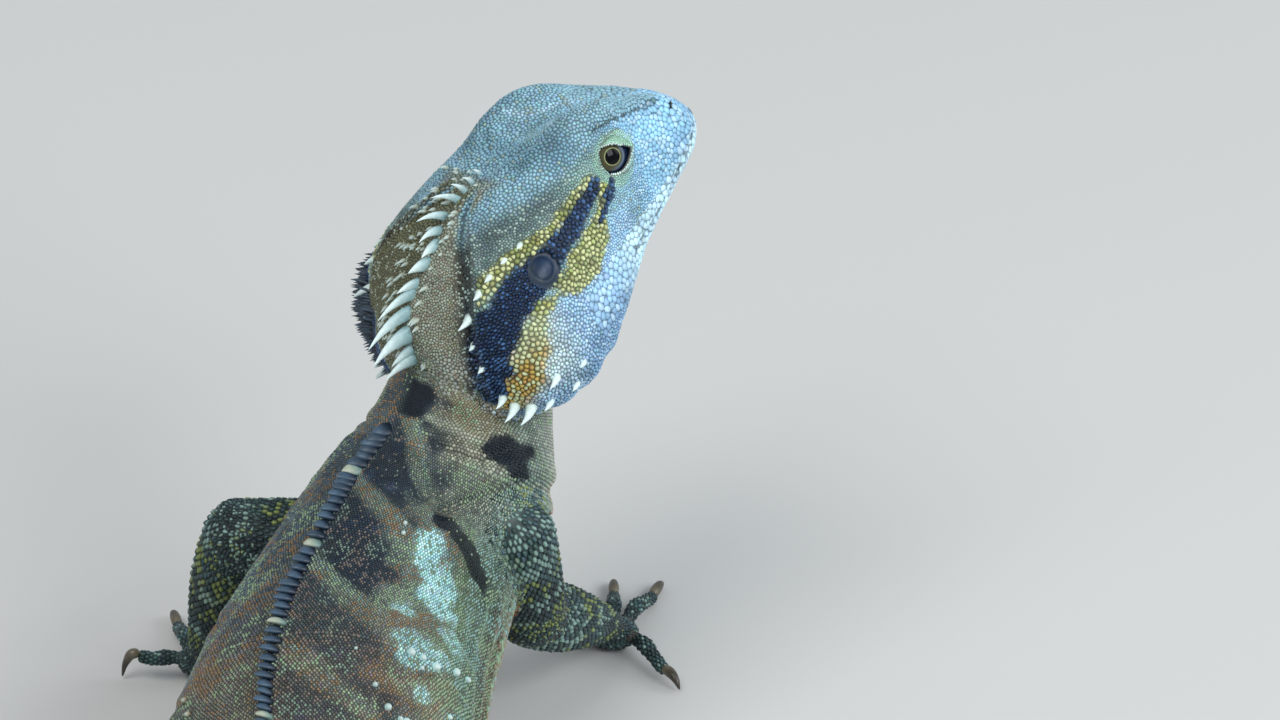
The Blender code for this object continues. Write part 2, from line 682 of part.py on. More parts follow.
def limb_rings(start, end, radii, grow=0.0):
    """Rings of a limb segment with round ends, from one joint to the next.

    radii are at the start, the middle of the muscle and the end. Each end is round about
    its joint, and grow adds a length all round.
    """
    start = np.asarray(start, float)
    end = np.asarray(end, float)
    axis = unit(end - start)
    length = np.linalg.norm(end - start)
    first = radii[0] + grow
    last = radii[2] + grow
    middle = np.linspace(0, length, LIMB_RINGS)
    places = np.concatenate([-first * np.cos(LIMB_END_TURNS), middle,
                             length + last * np.cos(LIMB_END_TURNS[::-1])])
    profile = spline(middle, [0, .38 * length, length], np.array(radii, float)) + grow
    sizes = np.concatenate([first * np.sin(LIMB_END_TURNS), profile, last * np.sin(LIMB_END_TURNS[::-1])])
    side = unit(np.cross(axis, (0.13, 0.2, 1)))
    over = np.cross(side, axis)
    angles = np.arange(LIMB_SIDES) * 2 * math.pi / LIMB_SIDES
    circle = np.outer(np.cos(angles), side) + np.outer(np.sin(angles), over)
    centres = start + np.outer(places, axis)
    return centres[:, None] + circle[None] * sizes[:, None, None]


def on_floor(thing):
    """Flatten whatever would sink under the floor."""
    for corner in thing.data.vertices:
        corner.co.z = max(corner.co.z, 0.0)


def grown_trunk(work):
    """Copy of the trunk with the gap added all round, to cut a limb clear of it."""
    angles = np.arange(BODY_SIDES) * 2 * math.pi / BODY_SIDES
    along = np.linspace(TRUNK_REACH[0], BODY_TUBE.knots[TRUNK_REACH[1]], TRUNK_RINGS)
    return solid("cutter", *loft(BODY_TUBE.points(along, angles, GAP)), work)


def make_limb(side, names, joints, radii, parts, work):
    """Two segments of a limb: the first meets the trunk, the second meets the first."""
    upper = solid(f"{names[0]}_{side}", *loft(limb_rings(joints[0], joints[1], radii[0])), parts)
    apply_boolean(upper, [grown_trunk(work)], "DIFFERENCE", work)
    lower = solid(f"{names[1]}_{side}", *loft(limb_rings(joints[1], joints[2], radii[1])), parts)
    grown_upper = solid("cutter", *loft(limb_rings(joints[0], joints[1], radii[0], GAP)), work)
    apply_boolean(lower, [grown_upper, grown_trunk(work)], "DIFFERENCE", work)
    for thing in (upper, lower):
        on_floor(thing)
        finish(thing, "arm" if "arm" in names[0] else "leg")


def tube_along(path, radii, sides, flat=1.0):
    """Rings round a path, with a radius at each point and a height flattened by a factor."""
    path = np.asarray(path, float)
    forward = unit(np.gradient(path, axis=0))
    side = unit(np.cross(forward, (0, 0, 1)))
    over = np.cross(side, forward)
    angles = (np.arange(sides) + .5) * 2 * math.pi / sides
    radii = np.asarray(radii, float)[:, None, None]
    ring = np.cos(angles)[None, :, None] * side[:, None]
    ring = ring + np.sin(angles)[None, :, None] * over[:, None] * flat
    return path[:, None] + ring * radii


def digit(root, heading, length, lift, radii, work):
    """Finger or toe with its claw: arched from its root to its pad, the claw hooked down.

    lift raises the last joint, whose claw then hooks further down to reach the floor.
    """
    way = np.array([math.cos(math.radians(heading)), math.sin(math.radians(heading)), 0])
    root = np.asarray(root, float)
    pad = radii[1] - PAD_SINK + lift
    arch = DIGIT_ARCH * min(1, length / SHORT_DIGIT + .25)
    bends = np.array([root[2], max(arch, pad), arch * .55 + pad * .5, pad])
    heights = spline(DIGIT_PLACES, DIGIT_BENDS, bends)
    path = root * (1, 1, 0) + np.outer(DIGIT_PLACES * length, way) + np.outer(heights, (0, 0, 1))
    sizes = np.interp(DIGIT_PLACES, [0, 1], radii) * (1 + DIGIT_SWELL * np.cos(DIGIT_PLACES * 4 * math.pi))
    sizes[-1] *= .7
    finger = solid("digit", *loft(tube_along(path, sizes, DIGIT_SIDES)), work)
    size = CLAW_LENGTH * (1 if length > 9 else .85)
    reach = size * np.sin(CLAW_TURNS) / math.sin(CLAW_TURNS[-1])
    drop = (pad + .35) * (1 - np.cos(CLAW_TURNS)) / (1 - math.cos(CLAW_TURNS[-1]))
    curve = path[-1] + np.outer(reach / (1 + .12 * lift), way)
    curve[:, 2] = pad + .5 + CLAW_BOW * np.sin(np.clip(CLAW_TURNS, 0, None) * 2) - drop
    claw = solid("claw", *loft(tube_along(curve, CLAW_RADIUS * CLAW_WIDTHS, CLAW_SIDES)), work)
    return [finger, claw]


def make_paw(side, name, joints, limb_radii, plan, radii, parts, work):
    """Hand or foot: a flat palm from the wrist or ankle, five digits and their claws."""
    heading = math.radians(plan["heading"])
    way = np.array([math.cos(heading), math.sin(heading), 0])
    across = np.array([-math.sin(heading), math.cos(heading), 0]) * (1 if side == "left" else -1)
    joint = np.asarray(joints[2], float)
    path = joint * (1, 1, 0) + np.outer(np.multiply(PALM_PLACES, plan["reach"]), way)
    path[:, 2] = np.interp(PALM_PLACES, [PALM_PLACES[0], 0, PALM_BEND[0], PALM_PLACES[-1]],
                           [joint[2] + .6, joint[2] - .6, PALM_BEND[1], PALM_END])
    wide = np.full(len(PALM_PLACES), plan["width"], float)
    wide[:2] = limb_radii[2] * WRIST_FIT
    rings = tube_along(path, wide * PALM_WIDTHS, PALM_SIDES, PALM_FLATNESS)
    palm = solid(f"{name}_{side}", *loft(rings), parts)
    additions = []
    middle = (len(plan["digits"]) - 1) / 2
    for index, (turn, length, lift) in enumerate(plan["digits"]):
        spread = (index / middle - 1) * plan["width"] * DIGIT_SPREAD
        back = DIGIT_ROOTS[0] if abs(index - middle) == middle else DIGIT_ROOTS[1]
        root = joint * (1, 1, 0) + way * plan["reach"] * back + across * spread
        root[2] = PALM_HEIGHT + lift * .5
        additions += digit(root, turn, length, lift, radii, work)
    apply_boolean(palm, additions, "UNION", work)
    cutter = solid("cutter", *loft(limb_rings(joints[1], joint, limb_radii, GAP)), work)
    apply_boolean(palm, [cutter], "DIFFERENCE", work)
    on_floor(palm)
    finish(palm, "arm" if name == "hand" else "leg")


def finish(thing, finish_name):
    """Give a piece its own material and shade it smooth away from sharp edges."""
    thing.data.materials.clear()
    thing.data.materials.append(skin_material(thing.name, COLOURS[finish_name], .75))
    thing.data.shade_smooth()
    thing.data.set_sharp_from_angle(angle=math.radians(50))


def main():
    """Make every part of the animal, from the head to the tips of the toes."""
    clear_scene()
    parts = collection("water_dragon")
    work = collection("cutters")
    dice = random.Random(SEED)
    for side in ("left", "right"):
        make_eye(side, parts)
    head = make_head(parts, work)
    neck = make_neck(parts, work)
    add_spines(head, neck, work, dice)
    make_torso(parts, work, dice)
    make_tail(parts, work, dice)
    for side in ("left", "right"):
        radii = (ARM_RADII, FOREARM_RADII)
        make_limb(side, ("upper_arm", "forearm"), ARMS[side], radii, parts, work)
        make_paw(side, "hand", ARMS[side], radii[1], HANDS[side], DIGIT_RADII, parts, work)
        radii = (THIGH_RADII, SHIN_RADII)
        make_limb(side, ("thigh", "shin"), LEGS[side], radii, parts, work)
        make_paw(side, "foot", LEGS[side], radii[1], FEET[side], TOE_RADII, parts, work)


BODY_TUBE = Body()
main()
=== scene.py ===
"""Looks of a life-size Australian water dragon: skin, scales, crest, eyes and claws.

Lengths are millimetres in the frame of the tables until a mesh is made; MIDDLE and MM turn
them into the model's metres. Distances along the body run from the nape to the tail tip, and
angles round it start at the spine and grow towards the animal's right side.
"""

import logging
import math
from dataclasses import dataclass, field
from enum import Enum
from typing import Callable, Iterable, Protocol

import bpy
import numpy as np
from numpy.typing import NDArray
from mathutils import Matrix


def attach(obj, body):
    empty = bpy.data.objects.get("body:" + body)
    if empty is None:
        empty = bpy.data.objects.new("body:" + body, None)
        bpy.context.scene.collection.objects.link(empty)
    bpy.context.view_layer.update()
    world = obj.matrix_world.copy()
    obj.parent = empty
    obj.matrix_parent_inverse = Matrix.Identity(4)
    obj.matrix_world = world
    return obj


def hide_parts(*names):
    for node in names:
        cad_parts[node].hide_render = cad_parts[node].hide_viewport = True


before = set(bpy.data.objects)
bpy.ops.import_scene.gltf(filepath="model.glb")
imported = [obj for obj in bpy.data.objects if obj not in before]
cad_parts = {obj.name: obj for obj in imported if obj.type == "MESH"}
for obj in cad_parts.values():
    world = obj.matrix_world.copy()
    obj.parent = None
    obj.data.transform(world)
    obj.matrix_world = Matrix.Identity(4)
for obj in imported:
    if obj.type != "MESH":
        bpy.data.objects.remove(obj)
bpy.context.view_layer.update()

Array = NDArray[np.float64]
Colour = tuple[float, float, float]
LOG = logging.getLogger("water_dragon")

MM = 0.001
MIDDLE = np.array([-15.87, -306.25, 0.0])
SEED = 11
BODY = "root"
TINT = "tint"
BAKE_MAP = "OFBake"
BAKE_PATCH = 0.0024
MOST_TRIANGLES = 190_000
# Places drawn for each scale wanted, and the least distance of those that stay, in pitches.
DRAWS = 4.5
CLOSEST = .74
# Length that stands for no neighbour.
FAR = 9.0


class Side(Enum):
    """The two sides of the animal, with the sign of its left-hand direction."""

    LEFT = 1
    RIGHT = -1

    @property
    def word(self) -> str:
        """Side as it stands in the names of nodes."""
        return self.name.lower()


def unit(vectors: Array) -> Array:
    """Scale vectors to length one.

    Args:
        vectors: Vectors along the last axis.

    Returns:
        The same directions, each of length one.
    """
    vectors = np.asarray(vectors, float)
    return vectors / np.maximum(np.linalg.norm(vectors, axis=-1, keepdims=True), 1e-12)


def around(count: int) -> Array:
    """Angles of points evenly round a ring."""
    return np.arange(count) * 2 * math.pi / count


def sphere(polar: Array, turn: Array) -> Array:
    """Points of the unit sphere.

    Args:
        polar: Angles from its third axis.
        turn: Angles round that axis, from the first axis towards the second.

    Returns:
        One point for each pair.
    """
    parts = (np.cos(turn) * np.sin(polar), np.sin(turn) * np.sin(polar), np.cos(polar))
    return np.stack(np.broadcast_arrays(*parts), -1)


def paired(along: Array, turn: Array) -> tuple[tuple, Array, Array]:
    """Both parameters of a surface in one row each.

    Args:
        along: Places along the surface.
        turn: Places round it.

    Returns:
        Shape of their common grid, and the two rows.
    """
    along, turn = np.broadcast_arrays(np.asarray(along, float), np.asarray(turn, float))
    return along.shape, along.ravel(), turn.ravel()


def ease(low: float, high: float, value: Array) -> Array:
    """Rise from 0 at low to 1 at high along 3t^2 - 2t^3.

    Args:
        low: Where the rise starts.
        high: Where it ends; below low, the curve falls instead.
        value: Places to read.

    Returns:
        Height of the curve at each place.
    """
    part = np.clip((np.asarray(value, float) - low) / (high - low), 0, 1)
    return part * part * (3 - 2 * part)


def hump(value: Array, centre: float, width: float) -> Array:
    """Bell exp(-((value - centre) / width)^2).

    Args:
        value: Places to read.
        centre: Where the bell is 1.
        width: Distance at which it has fallen to about a third.

    Returns:
        Height of the bell at each place.
    """
    return np.exp(-((np.asarray(value, float) - centre) / width) ** 2)


def blend(first: Array, second: Array, part: Array) -> Array:
    """Mix two colours: first * (1 - part) + second * part.

    Args:
        first: Colours where part is 0.
        second: Colours where part is 1.
        part: Share of the second colour at each place.

    Returns:
        Mixed colours, one row a place.
    """
    part = np.asarray(part, float)[..., None]
    return np.asarray(first, float) * (1 - part) + np.asarray(second, float) * part


def spline(at: Array, knots: Iterable[float], values: Array) -> Array:
    """Cubic Hermite curve through values at knots, with slopes weighted by the knot steps.

    Args:
        at: Places to read, in one row.
        knots: Rising places of the values.
        values: One row a knot.

    Returns:
        Values of the curve at each place.
    """
    knots = np.asarray(knots, float)
    flat = np.asarray(values, float).reshape(len(knots), -1)
    steps = np.diff(knots)[:, None]
    slopes = np.diff(flat, axis=0) / steps
    tangents = np.zeros_like(flat)
    tangents[1:-1] = (slopes[:-1] * steps[1:] + slopes[1:] * steps[:-1]) / (steps[1:] + steps[:-1])
    tangents[0] = slopes[0]
    tangents[-1] = slopes[-1]
    at = np.clip(np.asarray(at, float), knots[0], knots[-1])
    span = np.clip(np.searchsorted(knots, at, side="right") - 1, 0, len(knots) - 2)
    length = steps[span]
    t = (at[:, None] - knots[span][:, None]) / length
    curve = (2 * t**3 - 3 * t**2 + 1) * flat[span] + (t**3 - 2 * t**2 + t) * length * tangents[span]
    curve += (3 * t**2 - 2 * t**3) * flat[span + 1] + (t**3 - t**2) * length * tangents[span + 1]
    return curve.reshape((len(at),) + np.asarray(values).shape[1:])


def mottle(points: Array, size: float, seed: int) -> Array:
    """Smooth irregular pattern: the mean of twelve plane waves with random directions.

    Args:
        points: Places in millimetres.
        size: Rough width of a blotch in millimetres.
        seed: Which pattern.

    Returns:
        Values of about -1 to 1.
    """
    dice = np.random.default_rng(seed)
    waves = unit(dice.normal(size=(12, 3))) * dice.uniform(.7, 1.5, (12, 1)) * math.pi / size
    phases = dice.uniform(0, 2 * math.pi, 12)
    return np.sin(points @ waves.T + phases).mean(-1) * 2.4


def off_line(points: Array, line: Array) -> tuple[Array, Array]:
    """Distance from points to a polyline, and the place of the nearest point along it.

    Args:
        points: One row a point.
        line: Corners of the polyline, one row each.

    Returns:
        Distance of each point, and the number of the nearest corner with its fraction.
    """
    points = np.asarray(points, float)
    best = np.full(len(points), np.inf)
    place = np.zeros(len(points))
    for index in range(len(line) - 1):
        start = np.asarray(line[index], float)
        step = np.asarray(line[index + 1], float) - start
        part = np.clip((points - start) @ step / (step @ step), 0, 1)
        away = np.linalg.norm(points - start - part[:, None] * step, axis=1)
        nearer = away < best
        best = np.where(nearer, away, best)
        place = np.where(nearer, index + part, place)
    return best, place


class Form(Protocol):
    """A surface of two parameters: how far along, and how far round."""

    def surface(self, along: Array, turn: Array, grow: float = 0.0) -> Array:
        """Points of the surface."""
        ...


@dataclass
class Trunk:
    """Neck, torso and tail as one tube with superellipse sections along a smooth line."""

    stations: tuple = (
        ((23, 2, 95), (-.70, -.50, .50), 12, 14, 12),
        ((22, -2.5, 81), (-.78, -.60, .25), 13.5, 15, 14),
        ((19.5, -8, 67), (-.78, -.52, .35), 15.5, 16, 16.5),
        ((16, -15, 56.5), (-.66, -.38, .66), 20, 19, 20),
        ((9.5, -23, 47.2), (-.52, -.22, .84), 22.3, 21, 21.5),
        ((2.6, -37.5, 39.3), (-.46, -.18, .90), 25.2, 23, 23.5),
        ((-3.0, -51.5, 33.3), (-.45, -.20, .90), 27.8, 24, 25.6),
        ((-6.6, -65, 29.5), (-.42, -.22, .90), 29.4, 24, 26.4),
        ((-10.5, -83, 25.0), (-.32, -.22, .93), 30, 23, 25.5),
        ((-15, -102, 22.0), (-.17, -.15, .97), 26.5, 20, 22.6),
        ((-19, -120, 19.2), (-.05, -.1, 1), 20.5, 17, 19),
        ((-21, -136, 16.8), (0, -.08, 1), 16, 14.8, 14.5),
        ((-22, -165, 13.4), (0, -.05, 1), 12.2, 13.2, 12.6),
    )
    squareness: float = 2.2
    tail_length: float = 500
    tail_tip: float = 0.8
    tail_taper: float = 1.45
    tail_swing: float = math.radians(21)
    tail_wave: float = 430
    tail_stations: int = 18
    sink: float = 0.4
    # Folds of both sides as depth, width and places (distance along, angle in degrees).
    folds: tuple = (
        (.55, 1.0, ((37.5, 24), (38.6, 43), (39.6, 55), (39.8, 68))),
        (.75, 1.1, ((62, 51), (55, 57), (50.4, 64), (47, 74), (44.4, 88), (42, 101), (41, 125), (40, 180))),
        (.55, 0.9, ((46, 27), (51, 42), (54.5, 52))),
        (.40, 0.9, ((31, 45), (35, 50), (39, 60))),
        (.55, 1.0, ((92, 44), (87.5, 60), (82.5, 74))),
        (.50, 1.0, ((111, 50), (108.5, 60), (105, 72), (101, 84))),
        (.45, 1.0, ((72, 96), (84, 95), (96, 97), (108, 102))),
        (.40, 1.2, ((76, 108), (88, 106), (104, 108), (120, 112))),
        (.45, 1.1, ((150, 70), (153, 85), (155, 105))),
    )

    def __post_init__(self) -> None:
        """Work out the tail's stations and the distance of every station along the body."""
        rows = list(self.stations)
        centre, _, width, above, below = rows[-1]
        place = np.array(centre, float)
        step = self.tail_length / self.tail_stations
        for index in range(1, self.tail_stations + 1):
            swing = self.tail_swing * math.sin(2 * math.pi * (index - .5) * step / self.tail_wave)
            place = place + step * np.array([math.sin(swing), -math.cos(swing), 0])
            thinning = (1 - index / self.tail_stations) ** self.tail_taper
            size = self.tail_tip + (width - self.tail_tip) * thinning
            depth = size * below / width
            place[2] = depth - self.sink
            rows.append((tuple(place), (0, 0, 1), size, size * above / width, depth))
        self.centres = np.array([row[0] for row in rows], float)
        self.ups = np.array([row[1] for row in rows], float)
        self.sizes = np.array([row[2:] for row in rows], float)
        chords = np.linalg.norm(np.diff(self.centres, axis=0), axis=1)
        self.knots = np.concatenate([[0], np.cumsum(chords)])

    @property
    def length(self) -> float:
        """Distance from the nape to the tail tip."""
        return float(self.knots[-1])

    def girth(self, along: Array) -> Array:
        """Mean radius at distances along the body."""
        return np.interp(along, self.knots, self.sizes.mean(1))

    def frame_at(self, along: Array) -> tuple[Array, Array, Array, Array, Array]:
        """Centre, direction to the tail, up, right and sizes at distances along the body.

        Args:
            along: Distances in one row.

        Returns:
            Five arrays, one row a distance.
        """
        centre = spline(along, self.knots, self.centres)
        after = spline(along + .5, self.knots, self.centres)
        back = unit(after - spline(along - .5, self.knots, self.centres))
        up = spline(along, self.knots, self.ups)
        up = unit(up - back * (up * back).sum(1, keepdims=True))
        return centre, back, up, np.cross(up, back), spline(along, self.knots, self.sizes)

    def relief(self, along: Array, angle: Array, girth: Array) -> Array:
        """Depth of the skin's folds, each a groove exp(-(d/w)^2) with a soft lip on both sides.

        Args:
            along: Distances along the body.
            angle: Angles round it in radians.
            girth: Mean radius there.

        Returns:
            Length to add to the radius.
        """
        depth = np.zeros_like(along)
        around = np.abs(np.arctan2(np.sin(angle), np.cos(angle)))
        flat = np.stack([along, around * girth], -1)
        for deep, width, places in self.folds:
            line = np.array(places, float)
            line = np.stack([line[:, 0], np.radians(line[:, 1]) * self.girth(line[:, 0])], -1)
            away, _ = off_line(flat, line)
            depth += deep * (.55 * hump(away, 2.1 * width, 1.1 * width) - hump(away, 0, width))
        return depth

    def surface(self, along: Array, turn: Array, grow: float = 0.0) -> Array:
        """Points at distances and angles: centre + right * a * sin^p + up * b * cos^p, above the floor.

        Args:
            along: Distances along the body.
            turn: Angles round it in radians.
            grow: Length added to the radius.

        Returns:
            One point for each pair.
        """
        shape, along, angle = paired(along, turn)
        centre, _, up, right, size = self.frame_at(along)
        power = 2 / self.squareness
        across = np.sign(np.sin(angle)) * np.abs(np.sin(angle)) ** power
        upward = np.sign(np.cos(angle)) * np.abs(np.cos(angle)) ** power
        deep = grow + self.relief(along, angle, size.mean(1))
        depth = np.where(np.cos(angle) > 0, size[:, 1], size[:, 2]) + deep
        points = centre + right * ((size[:, 0] + deep) * across)[:, None] + up * (depth * upward)[:, None]
        points[:, 2] = np.maximum(points[:, 2], -grow)
        return points.reshape(shape + (3,))

    def locate(self, points: Array) -> tuple[Array, Array, Array]:
        """Distance along, angle round and how deep inside the tube points lie.

        Args:
            points: One row a point.

        Returns:
            Distances, angles in radians, and radius over the tube's own radius.
        """
        fine = np.linspace(0, self.length, 480)
        centre, back, up, right, size = self.frame_at(fine)
        here = np.empty(len(points), int)
        for start in range(0, len(points), 20_000):
            part = points[start:start + 20_000]
            away = (part**2).sum(1)[:, None] + (centre**2).sum(1) - 2 * part @ centre.T
            here[start:start + 20_000] = np.argmin(away, axis=1)
        offset = points - centre[here]
        along = fine[here] + (offset * back[here]).sum(1)
        across = (offset * right[here]).sum(1) / size[here, 0]
        high = (offset * up[here]).sum(1)
        high = high / np.where(high > 0, size[here, 1], size[here, 2])
        power = self.squareness
        radius = (np.abs(across) ** power + np.abs(high) ** power) ** (1 / power)
        return along, np.arctan2(across, high), radius


@dataclass
class Head:
    """Head as a loft of sections whose half outlines run from the crown to the throat."""

    snout: tuple = (61.5, 33.4, 105.6)
    forward: tuple = (.740, .605, .294)
    crown: tuple = (-.386, .025, .922)
    back: tuple = (0, 3, 8, 14, 20, 26, 33, 41, 49, 57, 65, 72)
    top: tuple = (3.2, 8.0, 11.4, 14.4, 16.8, 18.4, 18.8, 18.2, 17.2, 15.5, 12.5, 7)
    brow: tuple = ((1.0, 3.2), (3.2, 7.8), (5.2, 11.6), (7.8, 15.6), (10.4, 19.2), (11.8, 21.2), (12.4, 20.8),
                   (12.2, 18.0), (12.5, 15.5), (12, 13), (10, 9.5), (5, 4.5))
    cheek: tuple = ((1.6, 2.3), (5.4, 4.5), (8.2, 6), (10.3, 8), (11.7, 9.5), (13.6, 9.8), (16, 9),
                    (18.5, 7.5), (21.0, 5.5), (22.5, 3), (20, 0), (10, -2))
    lip: tuple = ((1.8, 1.2), (5.8, 1.0), (8.8, .3), (11.3, -.9), (13.5, -1.8), (15.6, -2.4), (18.2, -3.2),
                  (21.2, -4), (24.4, -5.5), (26.2, -7), (24.5, -9), (13, -9))
    jaw: tuple = ((1.4, -.8), (4.2, -2.4), (6.8, -3.8), (8.8, -5.4), (10.8, -7.2), (13.2, -9.5),
                  (16.6, -12.5), (20.3, -16), (23, -18.5), (24, -19.5), (21, -18.5), (11, -14.5))
    throat: tuple = (-1.3, -3.4, -5.6, -7.6, -9.8, -12.4, -16, -20.5, -23.5, -24.5, -22.5, -17)
    jowl_start: float = 38
    jowl_length: float = 20
    jowl_puff: float = 0.24
    cap: float = 1.0
    mouth_corner: float = 32
    mouth_depth: float = 0.7
    mouth_drop: float = 3.6
    # Ridge from the nostril to the brow as places (back, half width, height).
    canthus: tuple = ((7, 5.6, 10.2), (12.6, 8.5, 12.8), (17.9, 10.7, 14.9), (21.1, 11.8, 16.2),
                      (25.5, 13.0, 17.2))
    ear: tuple = (50.8, 3.9)
    ear_size: tuple = (3.9, 3.5)
    ear_depth: float = 1.3

    def __post_init__(self) -> None:
        """Work out the head's own directions and the table of its outline points."""
        self.ahead = unit(self.forward)
        self.up = unit(np.array(self.crown) - self.ahead * (np.array(self.crown) @ self.ahead))
        self.left = np.cross(self.up, self.ahead)
        middle = [[(0, height) for height in row] for row in (self.top, self.throat)]
        rows = [middle[0], self.brow, self.cheek, self.lip, self.jaw, middle[1]]
        self.rows = np.array(rows, float).transpose(1, 0, 2)

    def place(self, back: Array, side: Array, height: Array) -> Array:
        """Points from distances back from the snout, to the left and towards the crown."""
        parts = [np.asarray(value, float)[..., None] for value in (back, side, height)]
        return np.array(self.snout) - self.ahead * parts[0] + self.left * parts[1] + self.up * parts[2]

    def locate(self, points: Array) -> tuple[Array, Array, Array]:
        """Distances back, to the left and towards the crown of points."""
        offset = points - np.array(self.snout)
        return -(offset @ self.ahead), offset @ self.left, offset @ self.up

    def outline(self, back: Array, turn: Array) -> Array:
        """Half width and height on a section: a Hermite curve through its six outline points.

        Args:
            back: Distances back from the snout.
            turn: Number of the outline point with its fraction, 0 at the crown, 5 at the throat.

        Returns:
            Two columns, half width and height.
        """
        rows = spline(back, self.back, self.rows)
        mirrored = np.concatenate([rows[:, 1:2] * (-1, 1), rows, rows[:, -2:-1] * (-1, 1)], axis=1)
        chords = np.sqrt(np.linalg.norm(np.diff(mirrored, axis=1), axis=2, keepdims=True))
        slopes = np.diff(mirrored, axis=1) / chords
        tangents = slopes[:, :-1] * chords[:, 1:] + slopes[:, 1:] * chords[:, :-1]
        tangents = tangents / (chords[:, 1:] + chords[:, :-1])
        span = np.clip(turn.astype(int), 0, 4)
        t = (turn - span)[:, None]
        pick = np.arange(len(back))
        length = chords[pick, span + 1]
        curve = (2 * t**3 - 3 * t**2 + 1) * rows[pick, span] + (3 * t**2 - 2 * t**3) * rows[pick, span + 1]
        curve += (t**3 - 2 * t**2 + t) * length * tangents[pick, span]
        return curve + (t**3 - t**2) * length * tangents[pick, span + 1]

    def lips(self, back: Array) -> Array:
        """Height of the lip outline."""
        return np.interp(back, self.back, np.array(self.lip)[:, 1])

    def mouth(self, back: Array) -> Array:
        """Height of the line between the lips, which falls below their outline."""
        return self.lips(back) - self.mouth_drop * ease(3, 22, back)

    def puff(self, back: Array, left: Array) -> Array:
        """Factor on the half width: the left jowl swells towards its rear."""
        return 1 + self.jowl_puff * np.clip((back - self.jowl_start) / self.jowl_length, 0, 1) * left

    def from_ear(self, back: Array, height: Array) -> Array:
        """Distance from the middle of the ear as a part of its radii."""
        return np.hypot((back - self.ear[0]) / self.ear_size[0], (height - self.ear[1]) / self.ear_size[1])

    def relief(self, back: Array, side: Array, height: Array) -> Array:
        """Outward displacement: lips, mouth line, brow ridge, temple, ear cup and folds.

        Args:
            back: Distances back from the snout.
            side: Half widths.
            height: Heights.

        Returns:
            Length to move each point outwards.
        """
        side = np.abs(side)
        from_lip = height - self.mouth(back)
        open_part = ease(self.mouth_corner, self.mouth_corner - 3, back) * ease(0, 3, back)
        flank = ease(1.0, 3.0, side)
        moved = -self.mouth_depth * hump(from_lip, 0, .42) * open_part * flank
        moved += .32 * (hump(from_lip, 1.3, .85) + .8 * hump(from_lip, -1.4, .9)) * open_part * flank
        away, _ = off_line(np.stack([back, side, height], -1), np.array(self.canthus))
        line = np.interp(back, *np.array(self.canthus).T[[0, 2]])
        brow = ease(5, 9, back) * ease(29, 25, back)
        moved += brow * (-.45 * hump(away, 0, .55) + .55 * hump(height - line, 1.5, 1.1) * ease(6, 0, away))
        moved += .7 * hump(back, 24, 8) * hump(side, 8.5, 4) * ease(12, 16, height)
        moved -= .55 * hump(side, 0, 2.2) * ease(8, 13, back) * ease(34, 28, back) * ease(8, 12, height)
        moved += .6 * hump(back, 43, 9) * hump(height, 12.5, 4.5) * ease(8, 12, side)
        moved += .35 * np.sin(back * .9 + height * .35) * ease(-14, -19, height) * ease(24, 34, back)
        round_ear = self.from_ear(back, height)
        beside = ease(10, 14, side)
        moved -= self.ear_depth * ease(1.12, .82, round_ear) * beside
        moved += .28 * hump(round_ear, 1.22, .16) * beside
        return moved

    def wall(self, back: Array, height: Array) -> Array:
        """Half width of the flank at heights: straight between points of each section's outline.

        Args:
            back: Distances back from the snout.
            height: Heights.

        Returns:
            Half width at each place, without puff and relief.
        """
        fine = np.linspace(1, 4, 61)
        rows = self.outline(np.repeat(back, len(fine)), np.tile(fine, len(back))).reshape(len(back), -1, 2)
        last = np.clip((rows[..., 1] > height[:, None]).sum(1) - 1, 0, len(fine) - 2)
        pick = np.arange(len(back))
        high, low = rows[pick, last], rows[pick, last + 1]
        part = np.clip((high[:, 1] - height) / np.maximum(high[:, 1] - low[:, 1], 1e-6), 0, 1)
        return high[:, 0] + (low[:, 0] - high[:, 0]) * part

    def surface(self, along: Array, turn: Array, grow: float = 0.0) -> Array:
        """Points at distances back and turns, 0 to 5 down the left side and 5 to 10 up the right.

        Args:
            along: Distances back from the snout; past both ends the section shrinks as an ellipse.
            turn: Turns round the section.
            grow: Length added outwards.

        Returns:
            One point for each pair.
        """
        shape, along, turn = paired(along, turn)
        turn = np.mod(turn, 10)
        left = turn <= 5
        half = np.where(left, turn, 10 - turn)
        back = np.clip(along, self.back[0], self.back[-1])
        here = self.outline(back, half)
        puff = self.puff(back, left)
        step = self.outline(back, np.minimum(half + .04, 5)) - self.outline(back, np.maximum(half - .04, 0))
        normal = unit(np.stack([-step[:, 1], step[:, 0]], -1))
        normal[:, 0] = np.where((half < .02) | (half > 4.98), 0, np.abs(normal[:, 0]))
        out = self.relief(back, here[:, 0], here[:, 1]) + grow
        here = here * np.stack([puff, np.ones_like(puff)], -1) + normal * out[:, None]
        behind = (along - self.back[-1]) / (3 * self.cap + grow)
        past = np.clip(np.maximum(-along / (self.cap + grow), behind), 0, 1)
        middle = (np.interp(back, self.back, self.top) + np.interp(back, self.back, self.throat)) / 2
        shrink = np.sqrt(1 - past**2)
        here[:, 0] *= shrink
        here[:, 1] = middle + (here[:, 1] - middle) * shrink
        return self.place(along, here[:, 0] * np.where(left, 1, -1), here[:, 1]).reshape(shape + (3,))


